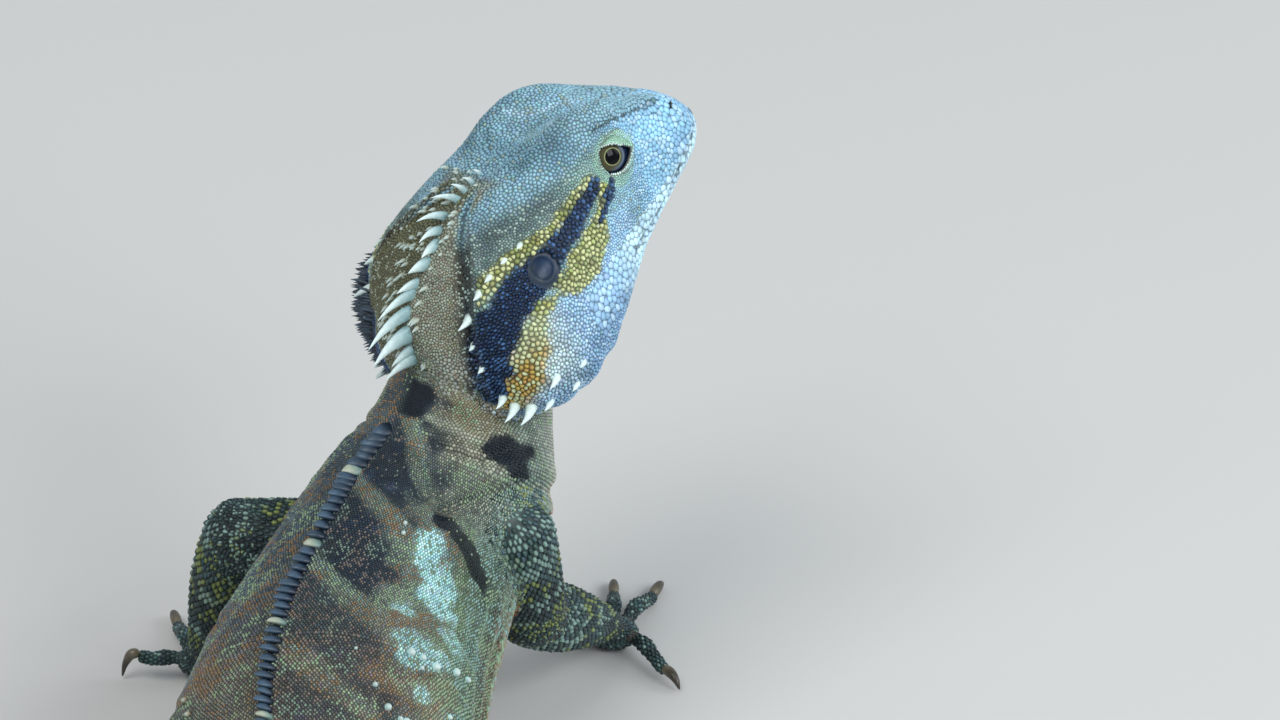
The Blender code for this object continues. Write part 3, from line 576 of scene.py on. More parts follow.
@dataclass
class Limb:
    """One segment of a leg: a round muscle between two joints, with ball ends."""

    start: tuple
    end: tuple
    radii: tuple
    belly: float = .38

    def __post_init__(self) -> None:
        """Work out the axis and two directions across it."""
        self.axis = unit(np.array(self.end, float) - np.array(self.start, float))
        self.length = float(np.linalg.norm(np.array(self.end, float) - np.array(self.start, float)))
        self.side = unit(np.cross(self.axis, (0.13, 0.2, 1)))
        self.over = np.cross(self.side, self.axis)

    @property
    def span(self) -> tuple[float, float]:
        """First and last distance along the segment, at the poles of its ball ends."""
        return -self.radii[0], self.length + self.radii[2]

    def radius(self, along: Array, grow: float = 0.0) -> Array:
        """Radius along the segment: a spline through three radii, and circles past the joints."""
        inside = np.clip(along, 0, self.length)
        size = spline(inside, [0, self.belly * self.length, self.length], np.array(self.radii, float)) + grow
        past = np.maximum(-along, along - self.length)
        return np.where(past > 0, np.sqrt(np.maximum(size**2 - np.maximum(past, 0) ** 2, 0)), size)

    def surface(self, along: Array, turn: Array, grow: float = 0.0) -> Array:
        """Points at distances and angles: start + axis * along + circle of that radius.

        Args:
            along: Distances from the first joint.
            turn: Angles round the axis in radians.
            grow: Length added to the radius.

        Returns:
            One point for each pair.
        """
        shape, along, angle = paired(along, turn)
        ring = np.cos(angle)[:, None] * self.side + np.sin(angle)[:, None] * self.over
        centre = np.array(self.start, float) + along[:, None] * self.axis
        points = centre + ring * self.radius(along, grow)[:, None]
        points[:, 2] = np.maximum(points[:, 2], -grow)
        return points.reshape(shape + (3,))


@dataclass
class Tube:
    """Digit, palm or claw: rings round a path, with a radius at each point and a flatness."""

    path: Array
    radii: Array
    flatness: float = 1.0

    def __post_init__(self) -> None:
        """Find the distance of each point along the path."""
        steps = np.linalg.norm(np.diff(self.path, axis=0), axis=1)
        self.knots = np.concatenate([[0], np.cumsum(steps)])

    @property
    def span(self) -> tuple[float, float]:
        """First and last distance along the tube."""
        return 0.0, float(self.knots[-1])

    def surface(self, along: Array, turn: Array, grow: float = 0.0) -> Array:
        """Points at distances and angles: path + (side * cos + over * flatness * sin) * radius.

        Args:
            along: Distances from the root; the last ones close as a round end.
            turn: Angles round the path in radians.
            grow: Length added to the radius.

        Returns:
            One point for each pair.
        """
        shape, along, angle = paired(along, turn)
        centre = spline(along, self.knots, self.path)
        ahead = unit(spline(along + .2, self.knots, self.path) - spline(along - .2, self.knots, self.path))
        side = unit(np.cross(ahead, (0, 0, 1)))
        over = np.cross(side, ahead)
        size = spline(along, self.knots, self.radii) + grow
        near_end = np.clip((self.span[1] - along) / np.maximum(size, .05), 0, 1)
        near_root = np.clip(along / np.maximum(size, .05), 0, 1)
        size = size * np.sqrt(1 - (1 - near_end) ** 2) * np.sqrt(1 - (1 - near_root) ** 2)
        ring = np.cos(angle)[:, None] * side + np.sin(angle)[:, None] * over * self.flatness
        points = centre + ring * size[:, None]
        points[:, 2] = np.maximum(points[:, 2], -grow)
        return points.reshape(shape + (3,))


@dataclass
class Ball:
    """Ellipsoid about an eye: a socket, or with an opening the lids that grow out of the head."""

    centre: Array
    axes: Array
    radius: float
    stretch: float = 1.0
    # Corners of the eye opening, as lengths ahead and up from the outward axis.
    opening: tuple = ()
    # Distance of the upper crease outside the opening, by the angle round it in degrees.
    crease: tuple = ((-20, .5), (0, 1.5), (25, 2.3), (45, 2.3), (65, 1.8), (90, 1.2), (120, .7))
    fold: float = 1.2

    def surface(self, along: Array, turn: Array, grow: float = 0.0) -> Array:
        """Points at polar angles from the outward axis and angles round it.

        Args:
            along: Polar angles in radians, 0 straight out of the head.
            turn: Angles round the outward axis in radians, from ahead towards the crown.
            grow: Length added to the radius.

        Returns:
            centre + (cos turn * sin along, sin turn * sin along, cos along) * radius for each pair.
        """
        along, turn = np.broadcast_arrays(np.asarray(along, float), np.asarray(turn, float))
        radius = self.radius + grow + self.relief(along, turn)
        parts = sphere(along, turn) * (self.stretch, 1, 1)
        return self.centre + (parts * radius[..., None]) @ self.axes

    def rim(self, turn: Array) -> Array:
        """Distance from the axis to the edge of the opening: 1 / r runs straight between corners."""
        corners = np.array(self.opening)
        near = 1 / np.linalg.norm(corners, axis=1)
        return 1 / np.interp(turn, np.arctan2(corners[:, 1], corners[:, 0]), near, period=2 * math.pi)

    def beyond(self, along: Array, turn: Array) -> Array:
        """Length over the ball from the edge of the opening to polar angles."""
        return (along - np.arcsin(np.clip(self.rim(turn) / self.radius, 0, .98))) * self.radius

    def upper(self, turn: Array) -> Array:
        """Share of the upper lid, which spans the angles from the front corner to the rear one."""
        degrees = np.degrees(np.arctan2(np.sin(turn), np.cos(turn)))
        return ease(-24, -8, degrees) * ease(130, 114, degrees)

    def crease_at(self, turn: Array) -> Array:
        """Distance of the upper crease, or of the lower fold, outside the opening."""
        degrees = np.degrees(np.arctan2(np.sin(turn), np.cos(turn)))
        above = self.upper(turn)
        return above * np.interp(degrees, *np.array(self.crease).T) + (1 - above) * self.fold

    def relief(self, along: Array, turn: Array) -> Array:
        """Swelling of both lids between the margin and their crease, and the crease itself.

        Args:
            along: Polar angles in radians.
            turn: Angles round the outward axis in radians.

        Returns:
            Length to add to the radius, 0 for a ball without an opening.
        """
        if not self.opening:
            return np.zeros(np.broadcast(along, turn).shape)
        beyond = self.beyond(along, turn)
        crease = self.crease_at(turn)
        above = self.upper(turn)
        swell = (.10 + .22 * above) * hump(beyond, .45 * crease, .55 * crease)
        line = (.16 + .22 * above) * hump(beyond, crease, .24)
        return swell + .14 * hump(beyond, .12, .2) - line


def ring_quads(rings: int, sides: int, base: int = 0) -> Array:
    """Quads between rings of corners that are numbered ring by ring.

    Args:
        rings: Number of rings.
        sides: Corners of each ring.
        base: Number of the first corner.

    Returns:
        One row of four corners for each quad.
    """
    ring = np.arange(rings - 1)[:, None] * sides + base
    side = np.arange(sides)
    after = (side + 1) % sides
    corners = [ring + side, ring + after, ring + sides + after, ring + sides + side]
    return np.stack(corners, -1).reshape(-1, 4)


def loft(bands: list[Array]) -> tuple[Array, Array, Array]:
    """Closed tube through rings, where each band may have half as many points round as the last.

    Rings are joined by quads, two bands by triangles that pair two points with one, and both
    ends by fans to the mean of the end ring.

    Args:
        bands: Grids of points, rings by places round by three.

    Returns:
        Points, quads and triangles, with faces outwards.
    """
    quads = []
    triangles = []
    base = 0
    for number, band in enumerate(bands):
        rings, sides = band.shape[:2]
        quads.append(ring_quads(rings, sides, base))
        base += rings * sides
        if number + 1 < len(bands):
            few = bands[number + 1].shape[1]
            low = base - sides
            pick = np.arange(few)
            here = low + 2 * pick
            between = here + 1
            beyond = low + (2 * pick + 2) % sides
            next_pick = base + (pick + 1) % few
            triangles.append(np.stack([here, between, base + pick], -1))
            triangles.append(np.stack([between, next_pick, base + pick], -1))
            triangles.append(np.stack([between, beyond, next_pick], -1))
    points = np.concatenate([band.reshape(-1, 3) for band in bands]
                            + [bands[0][:1].mean(1), bands[-1][-1:].mean(1)])
    first = np.arange(bands[0].shape[1])
    triangles.append(np.stack([np.roll(first, -1), first, np.full(len(first), base)], -1))
    last = base - bands[-1].shape[1] + np.arange(bands[-1].shape[1])
    triangles.append(np.stack([last, np.roll(last, -1), np.full(len(last), base + 1)], -1))
    quads = np.concatenate(quads)
    triangles = np.concatenate(triangles)
    if room_inside(points, quads, triangles) < 0:
        quads = quads[:, ::-1]
        triangles = triangles[:, ::-1]
    return points, quads, triangles


def room_inside(points: Array, quads: Array, triangles: Array) -> float:
    """Volume inside closed faces: the sum of a . (b x c) / 6 over their triangles."""
    split = np.concatenate([triangles, quads[:, :3], quads[:, [0, 2, 3]]])
    a, b, c = points[split[:, 0]], points[split[:, 1]], points[split[:, 2]]
    return float((a * np.cross(b, c)).sum() / 6)


def make_piece(name: str, points: Array, quads: Array, triangles: Array,
               smooth: bool = True) -> bpy.types.Object:
    """Mesh object at the origin from points in table millimetres.

    Args:
        name: Name of the piece.
        points: Its vertices.
        quads: Its four-sided faces.
        triangles: Its three-sided faces.
        smooth: Whether its faces are shaded smooth.

    Returns:
        The new object, linked to the scene.
    """
    mesh = bpy.data.meshes.new(name)
    mesh.vertices.add(len(points))
    mesh.vertices.foreach_set("co", ((points - MIDDLE) * MM).astype(np.float32).ravel())
    corners = np.concatenate([quads.ravel(), triangles.ravel()]).astype(np.int32)
    sizes = np.concatenate([np.full(len(quads), 4), np.full(len(triangles), 3)])
    starts = np.cumsum(sizes) - sizes
    mesh.loops.add(len(corners))
    mesh.loops.foreach_set("vertex_index", corners)
    mesh.polygons.add(len(sizes))
    mesh.polygons.foreach_set("loop_start", starts.astype(np.int32))
    mesh.update(calc_edges=True)
    mesh.polygons.foreach_set("use_smooth", np.full(len(sizes), smooth))
    thing = bpy.data.objects.new(name, mesh)
    bpy.context.scene.collection.objects.link(thing)
    return thing


def places_of(thing: bpy.types.Object) -> Array:
    """Vertices of a mesh object in table millimetres."""
    flat = np.empty(len(thing.data.vertices) * 3, np.float32)
    thing.data.vertices.foreach_get("co", flat)
    return flat.reshape(-1, 3) / MM + MIDDLE


def set_places(thing: bpy.types.Object, points: Array) -> None:
    """Move the vertices of a mesh object to points in table millimetres."""
    thing.data.vertices.foreach_set("co", ((points - MIDDLE) * MM).astype(np.float32).ravel())
    thing.data.update()


def paint(thing: bpy.types.Object, colours: Array) -> None:
    """Store a linear colour for each vertex in the tint attribute.

    Args:
        thing: Mesh object.
        colours: One row a vertex.
    """
    layer = thing.data.color_attributes.new(TINT, "FLOAT_COLOR", "POINT")
    full = np.concatenate([np.clip(colours, 0, 1), np.ones((len(colours), 1))], 1)
    layer.data.foreach_set("color", full.astype(np.float32).ravel())


def combine(thing: bpy.types.Object, others: list[bpy.types.Object], operation: str) -> None:
    """Join other closed meshes to a thing, or cut them out of it.

    Args:
        thing: Mesh object that is changed.
        others: Mesh objects that are used up.
        operation: UNION or DIFFERENCE.
    """
    pool = bpy.data.collections.new("pool")
    bpy.context.scene.collection.children.link(pool)
    for other in others:
        bpy.context.scene.collection.objects.unlink(other)
        pool.objects.link(other)
    cut = thing.modifiers.new(operation.lower(), "BOOLEAN")
    cut.operation = operation
    cut.operand_type = "COLLECTION"
    cut.collection = pool
    cut.solver = "MANIFOLD"
    graph = bpy.context.evaluated_depsgraph_get()
    graph.update()
    mesh = bpy.data.meshes.new_from_object(thing.evaluated_get(graph))
    thing.modifiers.clear()
    thing.data = mesh
    for other in others:
        bpy.data.objects.remove(other, do_unlink=True)
    bpy.data.collections.remove(pool)


def snapped(points: Array, target: bpy.types.Object) -> Array:
    """Nearest places on a mesh to points, by a Shrinkwrap modifier on a mesh of bare points.

    Args:
        points: Places in table millimetres.
        target: Mesh object to snap to.

    Returns:
        One place on the target for each point.
    """
    empty = np.empty((0, 4), int)
    cloud = make_piece("cloud", points, empty, np.empty((0, 3), int))
    wrap = cloud.modifiers.new("wrap", "SHRINKWRAP")
    wrap.target = target
    wrap.wrap_method = "NEAREST_SURFACEPOINT"
    graph = bpy.context.evaluated_depsgraph_get()
    graph.update()
    done = cloud.evaluated_get(graph)
    flat = np.empty(len(done.data.vertices) * 3, np.float32)
    done.data.vertices.foreach_get("co", flat)
    bpy.data.objects.remove(cloud, do_unlink=True)
    return flat.reshape(-1, 3) / MM + MIDDLE


def nearest(points: Array, reach: float, count: int) -> tuple[Array, Array]:
    """Nearest other points of each point, found by sorting the points into cubes.

    Args:
        points: One row a point.
        reach: Side of the cubes, the least distance that is searched.
        count: Number of others wanted.

    Returns:
        Numbers of the others, and their distances, infinite where fewer are near.
    """
    cube = np.floor((points - points.min(0)) / reach).astype(np.int64) + 1
    span = cube.max(0) + 2
    key = (cube[:, 0] * span[1] + cube[:, 1]) * span[2] + cube[:, 2]
    order = np.argsort(key, kind="stable")
    step = np.arange(-1, 2)
    steps = ((step[:, None, None] * span[1] + step[None, :, None]) * span[2] + step).ravel()
    numbers, lengths = [], []
    for start in range(0, len(points), 3000):
        own = np.arange(start, min(start + 3000, len(points)))
        first = np.searchsorted(key, key[own, None] + steps, sorter=order)
        after = np.searchsorted(key, key[own, None] + steps, side="right", sorter=order)
        slots = first[..., None] + np.arange((after - first).max())
        pick = order[np.minimum(slots, len(points) - 1)].reshape(len(own), -1)
        length = np.linalg.norm(points[pick] - points[own, None], axis=-1)
        length[(slots >= after[..., None]).reshape(len(own), -1) | (pick == own[:, None])] = np.inf
        best = np.argpartition(length, count, axis=1)[:, :count]
        numbers.append(np.take_along_axis(pick, best, 1))
        lengths.append(np.take_along_axis(length, best, 1))
    return np.concatenate(numbers), np.concatenate(lengths)


def thinned(points: Array, pitch: Array, dice: np.random.Generator) -> Array:
    """Choose points at least their pitch apart: of close ones the highest draw stays.

    Args:
        points: One row a point.
        pitch: Least distance for each.
        dice: Seeded source of the draws.

    Returns:
        True for each chosen point.
    """
    draw = dice.uniform(size=len(points))
    number, away = nearest(points, pitch.max(), 24)
    close = away < .5 * (pitch[:, None] + pitch[number])
    chosen = np.zeros(len(points), bool)
    waiting = np.ones(len(points), bool)
    for _ in range(8):
        rival = np.where(close & waiting[number], draw[number], -1).max(1)
        chosen |= waiting & (draw > rival)
        waiting &= ~chosen & ~(close & chosen[number]).any(1)
    return chosen


def scattered(form: Form, along: Array, turn: Array, pitch_at: Callable[[Array], Array], seed: int) -> Array:
    """Places spread evenly over a form whatever its folds, closer where the pitch is small.

    Places are drawn in proportion to area / pitch^2, more than are needed, then thinned.

    Args:
        form: The form.
        along: Places along that bound the cells of the draw.
        turn: Turns that bound them.
        pitch_at: Gives the pitch at points.
        seed: Seed of the draws.

    Returns:
        Places along and turns, as two rows.
    """
    dice = np.random.default_rng(seed)
    grid = form.surface(along[:, None], turn[None])
    area = np.linalg.norm(np.cross(grid[1:, :-1] - grid[:-1, :-1], grid[:-1, 1:] - grid[:-1, :-1]), axis=-1)
    middle = .25 * (grid[1:, 1:] + grid[1:, :-1] + grid[:-1, 1:] + grid[:-1, :-1])
    weight = np.cumsum(area.ravel() / pitch_at(middle.reshape(-1, 3))**2)
    count = int(weight[-1] * DRAWS)
    draws = (np.arange(count) + dice.uniform(size=count)) * weight[-1] / count
    row, column = np.divmod(np.minimum(np.searchsorted(weight, draws), weight.size - 1), area.shape[1])
    part = dice.uniform(size=(2, count))
    places = np.stack([along[row] + part[0] * (along[row + 1] - along[row]),
                       turn[column] + part[1] * (turn[column + 1] - turn[column])])
    points = form.surface(*places)
    return places[:, thinned(points, CLOSEST * pitch_at(points), dice)]


@dataclass(frozen=True)
class Palette:
    """Linear colours of the animal."""

    crown: Colour = (.28, .49, .59)
    crown_patch: Colour = (.13, .27, .35)
    snout: Colour = (.30, .58, .82)
    jaw: Colour = (.58, .84, 1.0)
    jowl: Colour = (.36, .60, .84)
    # Lower jowl where it turns under: painted shade.
    jowl_edge: Colour = (.17, .32, .50)
    jowl_cream: Colour = (.50, .62, .60)
    temple: Colour = (.100, .145, .130)
    temple_front: Colour = (.26, .44, .42)
    temple_pale: Colour = (.30, .42, .38)
    lid: Colour = (.38, .66, .50)
    cream: Colour = (.66, .80, .76)
    white: Colour = (.62, .84, 1.0)
    stripe: Colour = (.016, .040, .100)
    stripe_bead: Colour = (.05, .12, .26)
    drum: Colour = (.008, .024, .060)
    yellow: Colour = (.38, .39, .05)
    gold: Colour = (.58, .62, .32)
    ochre: Colour = (.50, .31, .025)
    neck: Colour = (.27, .25, .165)
    neck_dark: Colour = (.11, .115, .05)
    neck_pale: Colour = (.38, .42, .33)
    black: Colour = (.005, .012, .022)
    band: Colour = (.007, .020, .044)
    olive: Colour = (.19, .27, .17)
    tan: Colour = (.165, .205, .175)
    slate: Colour = (.068, .105, .160)
    pale: Colour = (.50, .86, .86)
    flank: Colour = (.175, .29, .27)
    warm: Colour = (.27, .205, .150)
    rust: Colour = (.25, .165, .09)
    belly: Colour = (.42, .20, .09)
    throat: Colour = (.40, .42, .38)
    limb: Colour = (.024, .042, .046)
    limb_pale: Colour = (.19, .30, .27)
    limb_gold: Colour = (.18, .23, .075)
    toe: Colour = (.055, .105, .110)
    tail: Colour = (.10, .085, .055)
    tail_pale: Colour = (.26, .22, .14)
    horn: Colour = (.050, .042, .032)
    horn_root: Colour = (.14, .12, .08)
    iris: Colour = (.050, .048, .030)
    iris_spoke: Colour = (.10, .090, .045)
    iris_blue: Colour = (.13, .20, .30)
    iris_ring: Colour = (.38, .44, .20)
    eye_rim: Colour = (.006, .014, .045)
    pupil: Colour = (.003, .003, .004)
    # Root of the nape spines, darker than the tip: painted shade at the base.
    spine_root: Colour = (.26, .42, .44)
    spine_tip: Colour = (.70, .84, .84)
    scute: Colour = (.042, .080, .125)
    # Base of the dark lobes: painted shade, with the black-blue of the scales round them.
    scute_root: Colour = (.005, .013, .030)


PALETTE = Palette()
Tint = tuple[Array, Array, Array]


class Markings(Protocol):
    """A pattern of colours over one part of the animal."""

    def tint(self, points: Array) -> Tint:
        """Colours, chance of a pale scale, and the colour of such a scale."""
        ...


@dataclass
class HeadMarkings:
    """Colours of the head by distance back, half width and height."""

    head: Head
    # Dark stripe from the eye over the ear to the jowl: back, height, half width.
    stripe: tuple = ((30.5, 9.3, .9), (35, 7.7, 1.7), (42, 6.0, 2.0), (46, 5.5, 2.1), (51, 4.2, 3.2),
                     (57, 3.8, 2.8), (61, 1.9, 2.9), (64.5, -.9, 2.9), (67.3, -4.4, 2.7), (68.8, -9, 2.0),
                     (69.6, -14.5, 1.3))
    # Short dark line under the eye.
    second: tuple = ((27.2, 7.0, .7), (29.4, 5.5, .9), (32.2, 4.1, .9), (35, 3.2, .5))
    # Golden scales above and below it, and the ochre patch on the jowl.
    above: tuple = ((31, 11.0, .8), (38.9, 9.6, 1.3), (44.6, 8.7, 1.3), (50.6, 8.6, 1.2), (56.1, 8.2, 1.3),
                    (60.5, 6.6, 1.2), (64, 4.0, .7))
    below: tuple = ((29.5, 7.4, .8), (33, 4.4, 1.2), (36.5, 1.6, 2.8), (41, .2, 3.4), (44.8, -.4, 3.6),
                    (48, -1.2, 2.0), (52, -.6, 1.0), (56.5, -.6, 1.2))
    ochre: tuple = ((58, -2.4, 2.0), (61.3, -4.8, 3.2), (64, -8.2, 3.6), (66.6, -12.5, 3.1), (67.8, -16, 2.2))
    # Pale line over the brow: back, half width.
    line: tuple = ((20, 2.5), (22.8, 3.1), (26.3, 3.1), (29.6, 4.9), (30.8, 7.8))
    # Rear edge of the head, where the neck's colours start: back, height.
    rear: tuple = ((72, -17), (71, -10.4), (69.3, -3.2), (67.1, 2.1), (64.4, 7), (61.7, 10.5), (58.5, 13.5),
                   (54.3, 15.7), (46, 17.4))

    def tint(self, points: Array) -> Tint:
        """Layers of colour, each mixed over the last by smooth weights of the place on the head.

        Args:
            points: One row a point.

        Returns:
            Colours, chance of a pale scale, and the colour of such a scale.
        """
        back, side, height = self.head.locate(points)
        left = ease(-2, 2, side)
        beside = ease(-5.5, -2, side)
        side = np.abs(side)
        flat = np.stack([back, height], -1)
        lips = self.head.lips(back)
        blot = mottle(points, 7, 3)
        fine = mottle(points, 2.6, 4)
        colour = np.broadcast_to(PALETTE.crown, points.shape).copy()
        ridge = np.interp(back, *np.array(self.head.canthus).T[[0, 2]])
        muzzle = ease(1.5, -.5, height - ridge) * ease(27, 20, back)
        colour = blend(colour, PALETTE.snout, muzzle)
        patches = hump(np.hypot(back - 35, side - 13), 0, 4)
        patches = patches + .8 * hump(np.hypot(back - 40, side - 9.5), 0, 2.5)
        colour = blend(colour, PALETTE.crown_patch, .9 * np.clip(patches, 0, 1) * ease(15, 17, height))
        clouds = .55 * ease(.1, .9, blot) * ease(12, 16, height) * (1 - muzzle)
        colour = blend(colour, PALETTE.crown_patch, clouds)
        temple = ease(9, 13, side) * ease(26, 31, back) * ease(16, 13, height) * ease(4, 7, height)
        colour = blend(colour, PALETTE.temple, .85 * temple)
        colour = blend(colour, PALETTE.temple_front, temple * ease(42, 31, back))
        colour = blend(colour, PALETTE.temple_pale, .35 * temple * ease(.2, .9, fine))
        cheek = ease(1, -1, height - lips - 5) * ease(24, 30, back)
        colour = blend(colour, PALETTE.jowl, cheek)
        colour = blend(colour, PALETTE.jaw, ease(.6, -.6, height - lips) * ease(40, 28, back))
        # Painted shade: the lower jowl darkens where it turns under.
        edge = ease(-3, -9, height - lips) * ease(28, 38, back)
        colour = blend(colour, PALETTE.jowl_edge, .75 * edge)
        under = ease(4, 9, lips - height) * ease(16, 9, side)
        colour = blend(colour, PALETTE.throat, under * ease(.5, 6, back))
        near = np.hypot(back - 24.3, height - 9.8)
        colour = blend(colour, PALETTE.lid, .7 * ease(5.8, 4.8, near) * ease(5, 8, side))
        gold = self.band(flat, self.below, 1.2, fine) * ease(8, 11, side)
        upper = self.band(flat, self.above, 1.2, fine) * ease(7, 10, side)
        patch = self.band(flat, self.ochre, 3.6, fine) * ease(8, 12, side)
        dark = np.maximum(self.band(flat, self.stripe, .7, fine), self.band(flat, self.second, .5, fine))
        dark = dark * ease(7, 10, side)
        cream = ease(-20, -10, height) * ease(1.5, -2.5, height) * ease(50, 58, back) * ease(73, 67, back)
        colour = blend(colour, PALETTE.jowl_cream, .85 * cream * ease(9, 13, side))
        ochre = blend(PALETTE.ochre, PALETTE.gold, ease(-9, -3.5, height))
        colour = blend(colour, ochre, .9 * patch)
        colour = blend(colour, PALETTE.yellow, .8 * gold)
        colour = blend(colour, PALETTE.yellow, .6 * upper)
        rear = ease(-1.5, 1.5, back - np.interp(height, *np.array(self.rear).T[::-1]))
        nape = rear * (1 - left * ease(11, 13, side) * ease(2, -1, height))
        dark = np.maximum(dark, left * ease(11, 13, side) * ease(2, -1, height) * ease(58, 62, back))
        colour = blend(colour, PALETTE.neck, .9 * nape)
        colour = blend(colour, PALETTE.neck_dark, .8 * nape * beside)
        colour = blend(colour, PALETTE.neck_pale, .35 * nape * ease(.1, .8, fine) * (1 - beside))
        # Painted shade: the deep fold at the head's rear edge is darkened to nearly black.
        fold, _ = off_line(flat, np.array(self.rear, float))
        inside = .9 * ease(1.3, .5, fold) * ease(15, 11, height) * ease(5, 8, side)
        colour = blend(colour, np.array(PALETTE.neck) * .12, inside)
        dark = dark * (1 - nape)
        colour = blend(colour, PALETTE.stripe, dark)
        bright = np.maximum(gold, .8 * upper) * (1 - dark)
        crossing, _ = off_line(np.stack([back, side], -1), np.array(self.line))
        colour = blend(colour, PALETTE.white, .35 * ease(.9, .4, crossing) * ease(13, 15, height))
        # Painted shade: dark line along the groove of the ridge from nostril to brow.
        crease, _ = off_line(flat, np.array(self.head.canthus)[:, [0, 2]])
        colour = blend(colour, PALETTE.temple, .8 * ease(.5, .2, crease) * ease(4, 6, side))
        colour = colour * (1 + .12 * blot + .12 * fine)[:, None]
        # Painted shade: dark line in the sunken gap between the lips.
        mouth = ease(.45, .2, np.abs(height - self.head.mouth(back))) * ease(33, 29, back)
        colour = blend(colour, PALETTE.temple, .6 * mouth * ease(1, 3, side))
        pale_zone = np.maximum(cheek, muzzle) * (1 - patch) * (1 - bright)
        chance = .05 + .42 * bright + .14 * temple + .34 * patch + .25 * pale_zone
        chance = chance + .3 * nape * (1 - .8 * beside) + .10 * dark
        fleck = blend(PALETTE.temple_pale, PALETTE.gold, ease(.1, .4, bright))
        fleck = blend(fleck, PALETTE.gold, .8 * patch)
        fleck = blend(fleck, PALETTE.white, ease(.3, .7, pale_zone))
        fleck = blend(fleck, PALETTE.neck_pale, .8 * nape)
        fleck = blend(fleck, colour, .55 * pale_zone)
        return colour, chance, blend(fleck, PALETTE.stripe_bead, dark)

    def coarse(self, points: Array) -> tuple[Array, Array]:
        """Where the scales are beads, in the gold, ochre and dark bands, and where small spikes.

        Args:
            points: One row a point.

        Returns:
            Share of beads and of spikes at each point.
        """
        back, side, height = self.head.locate(points)
        flat = np.stack([back, height], -1)
        fine = mottle(points, 2.6, 4)
        flank = ease(7, 9, np.abs(side))
        share = self.band(flat, self.stripe, .7, fine)
        spiky = share * flank * ease(52, 54, back)
        share = share * ease(54, 52, back)
        for line in (self.second, self.below, self.above, self.ochre):
            share = np.maximum(share, self.band(flat, line, .8, fine))
        return share * flank, spiky

    def band(self, flat: Array, line: tuple, soft: float, fine: Array) -> Array:
        """Share of a band with its own half width at each corner of its line.

        Args:
            flat: Places as (back, height).
            line: Corners as (back, height, half width).
            soft: Width of its edge.
            fine: Blotchy pattern that makes the edge ragged.

        Returns:
            1 inside the band, 0 outside it.
        """
        corners = np.array(line, float)
        away, place = off_line(flat, corners[:, :2])
        half = np.interp(place, np.arange(len(corners)), corners[:, 2])
        return ease(.5 * soft, -.5 * soft, away - half + .5 * fine)


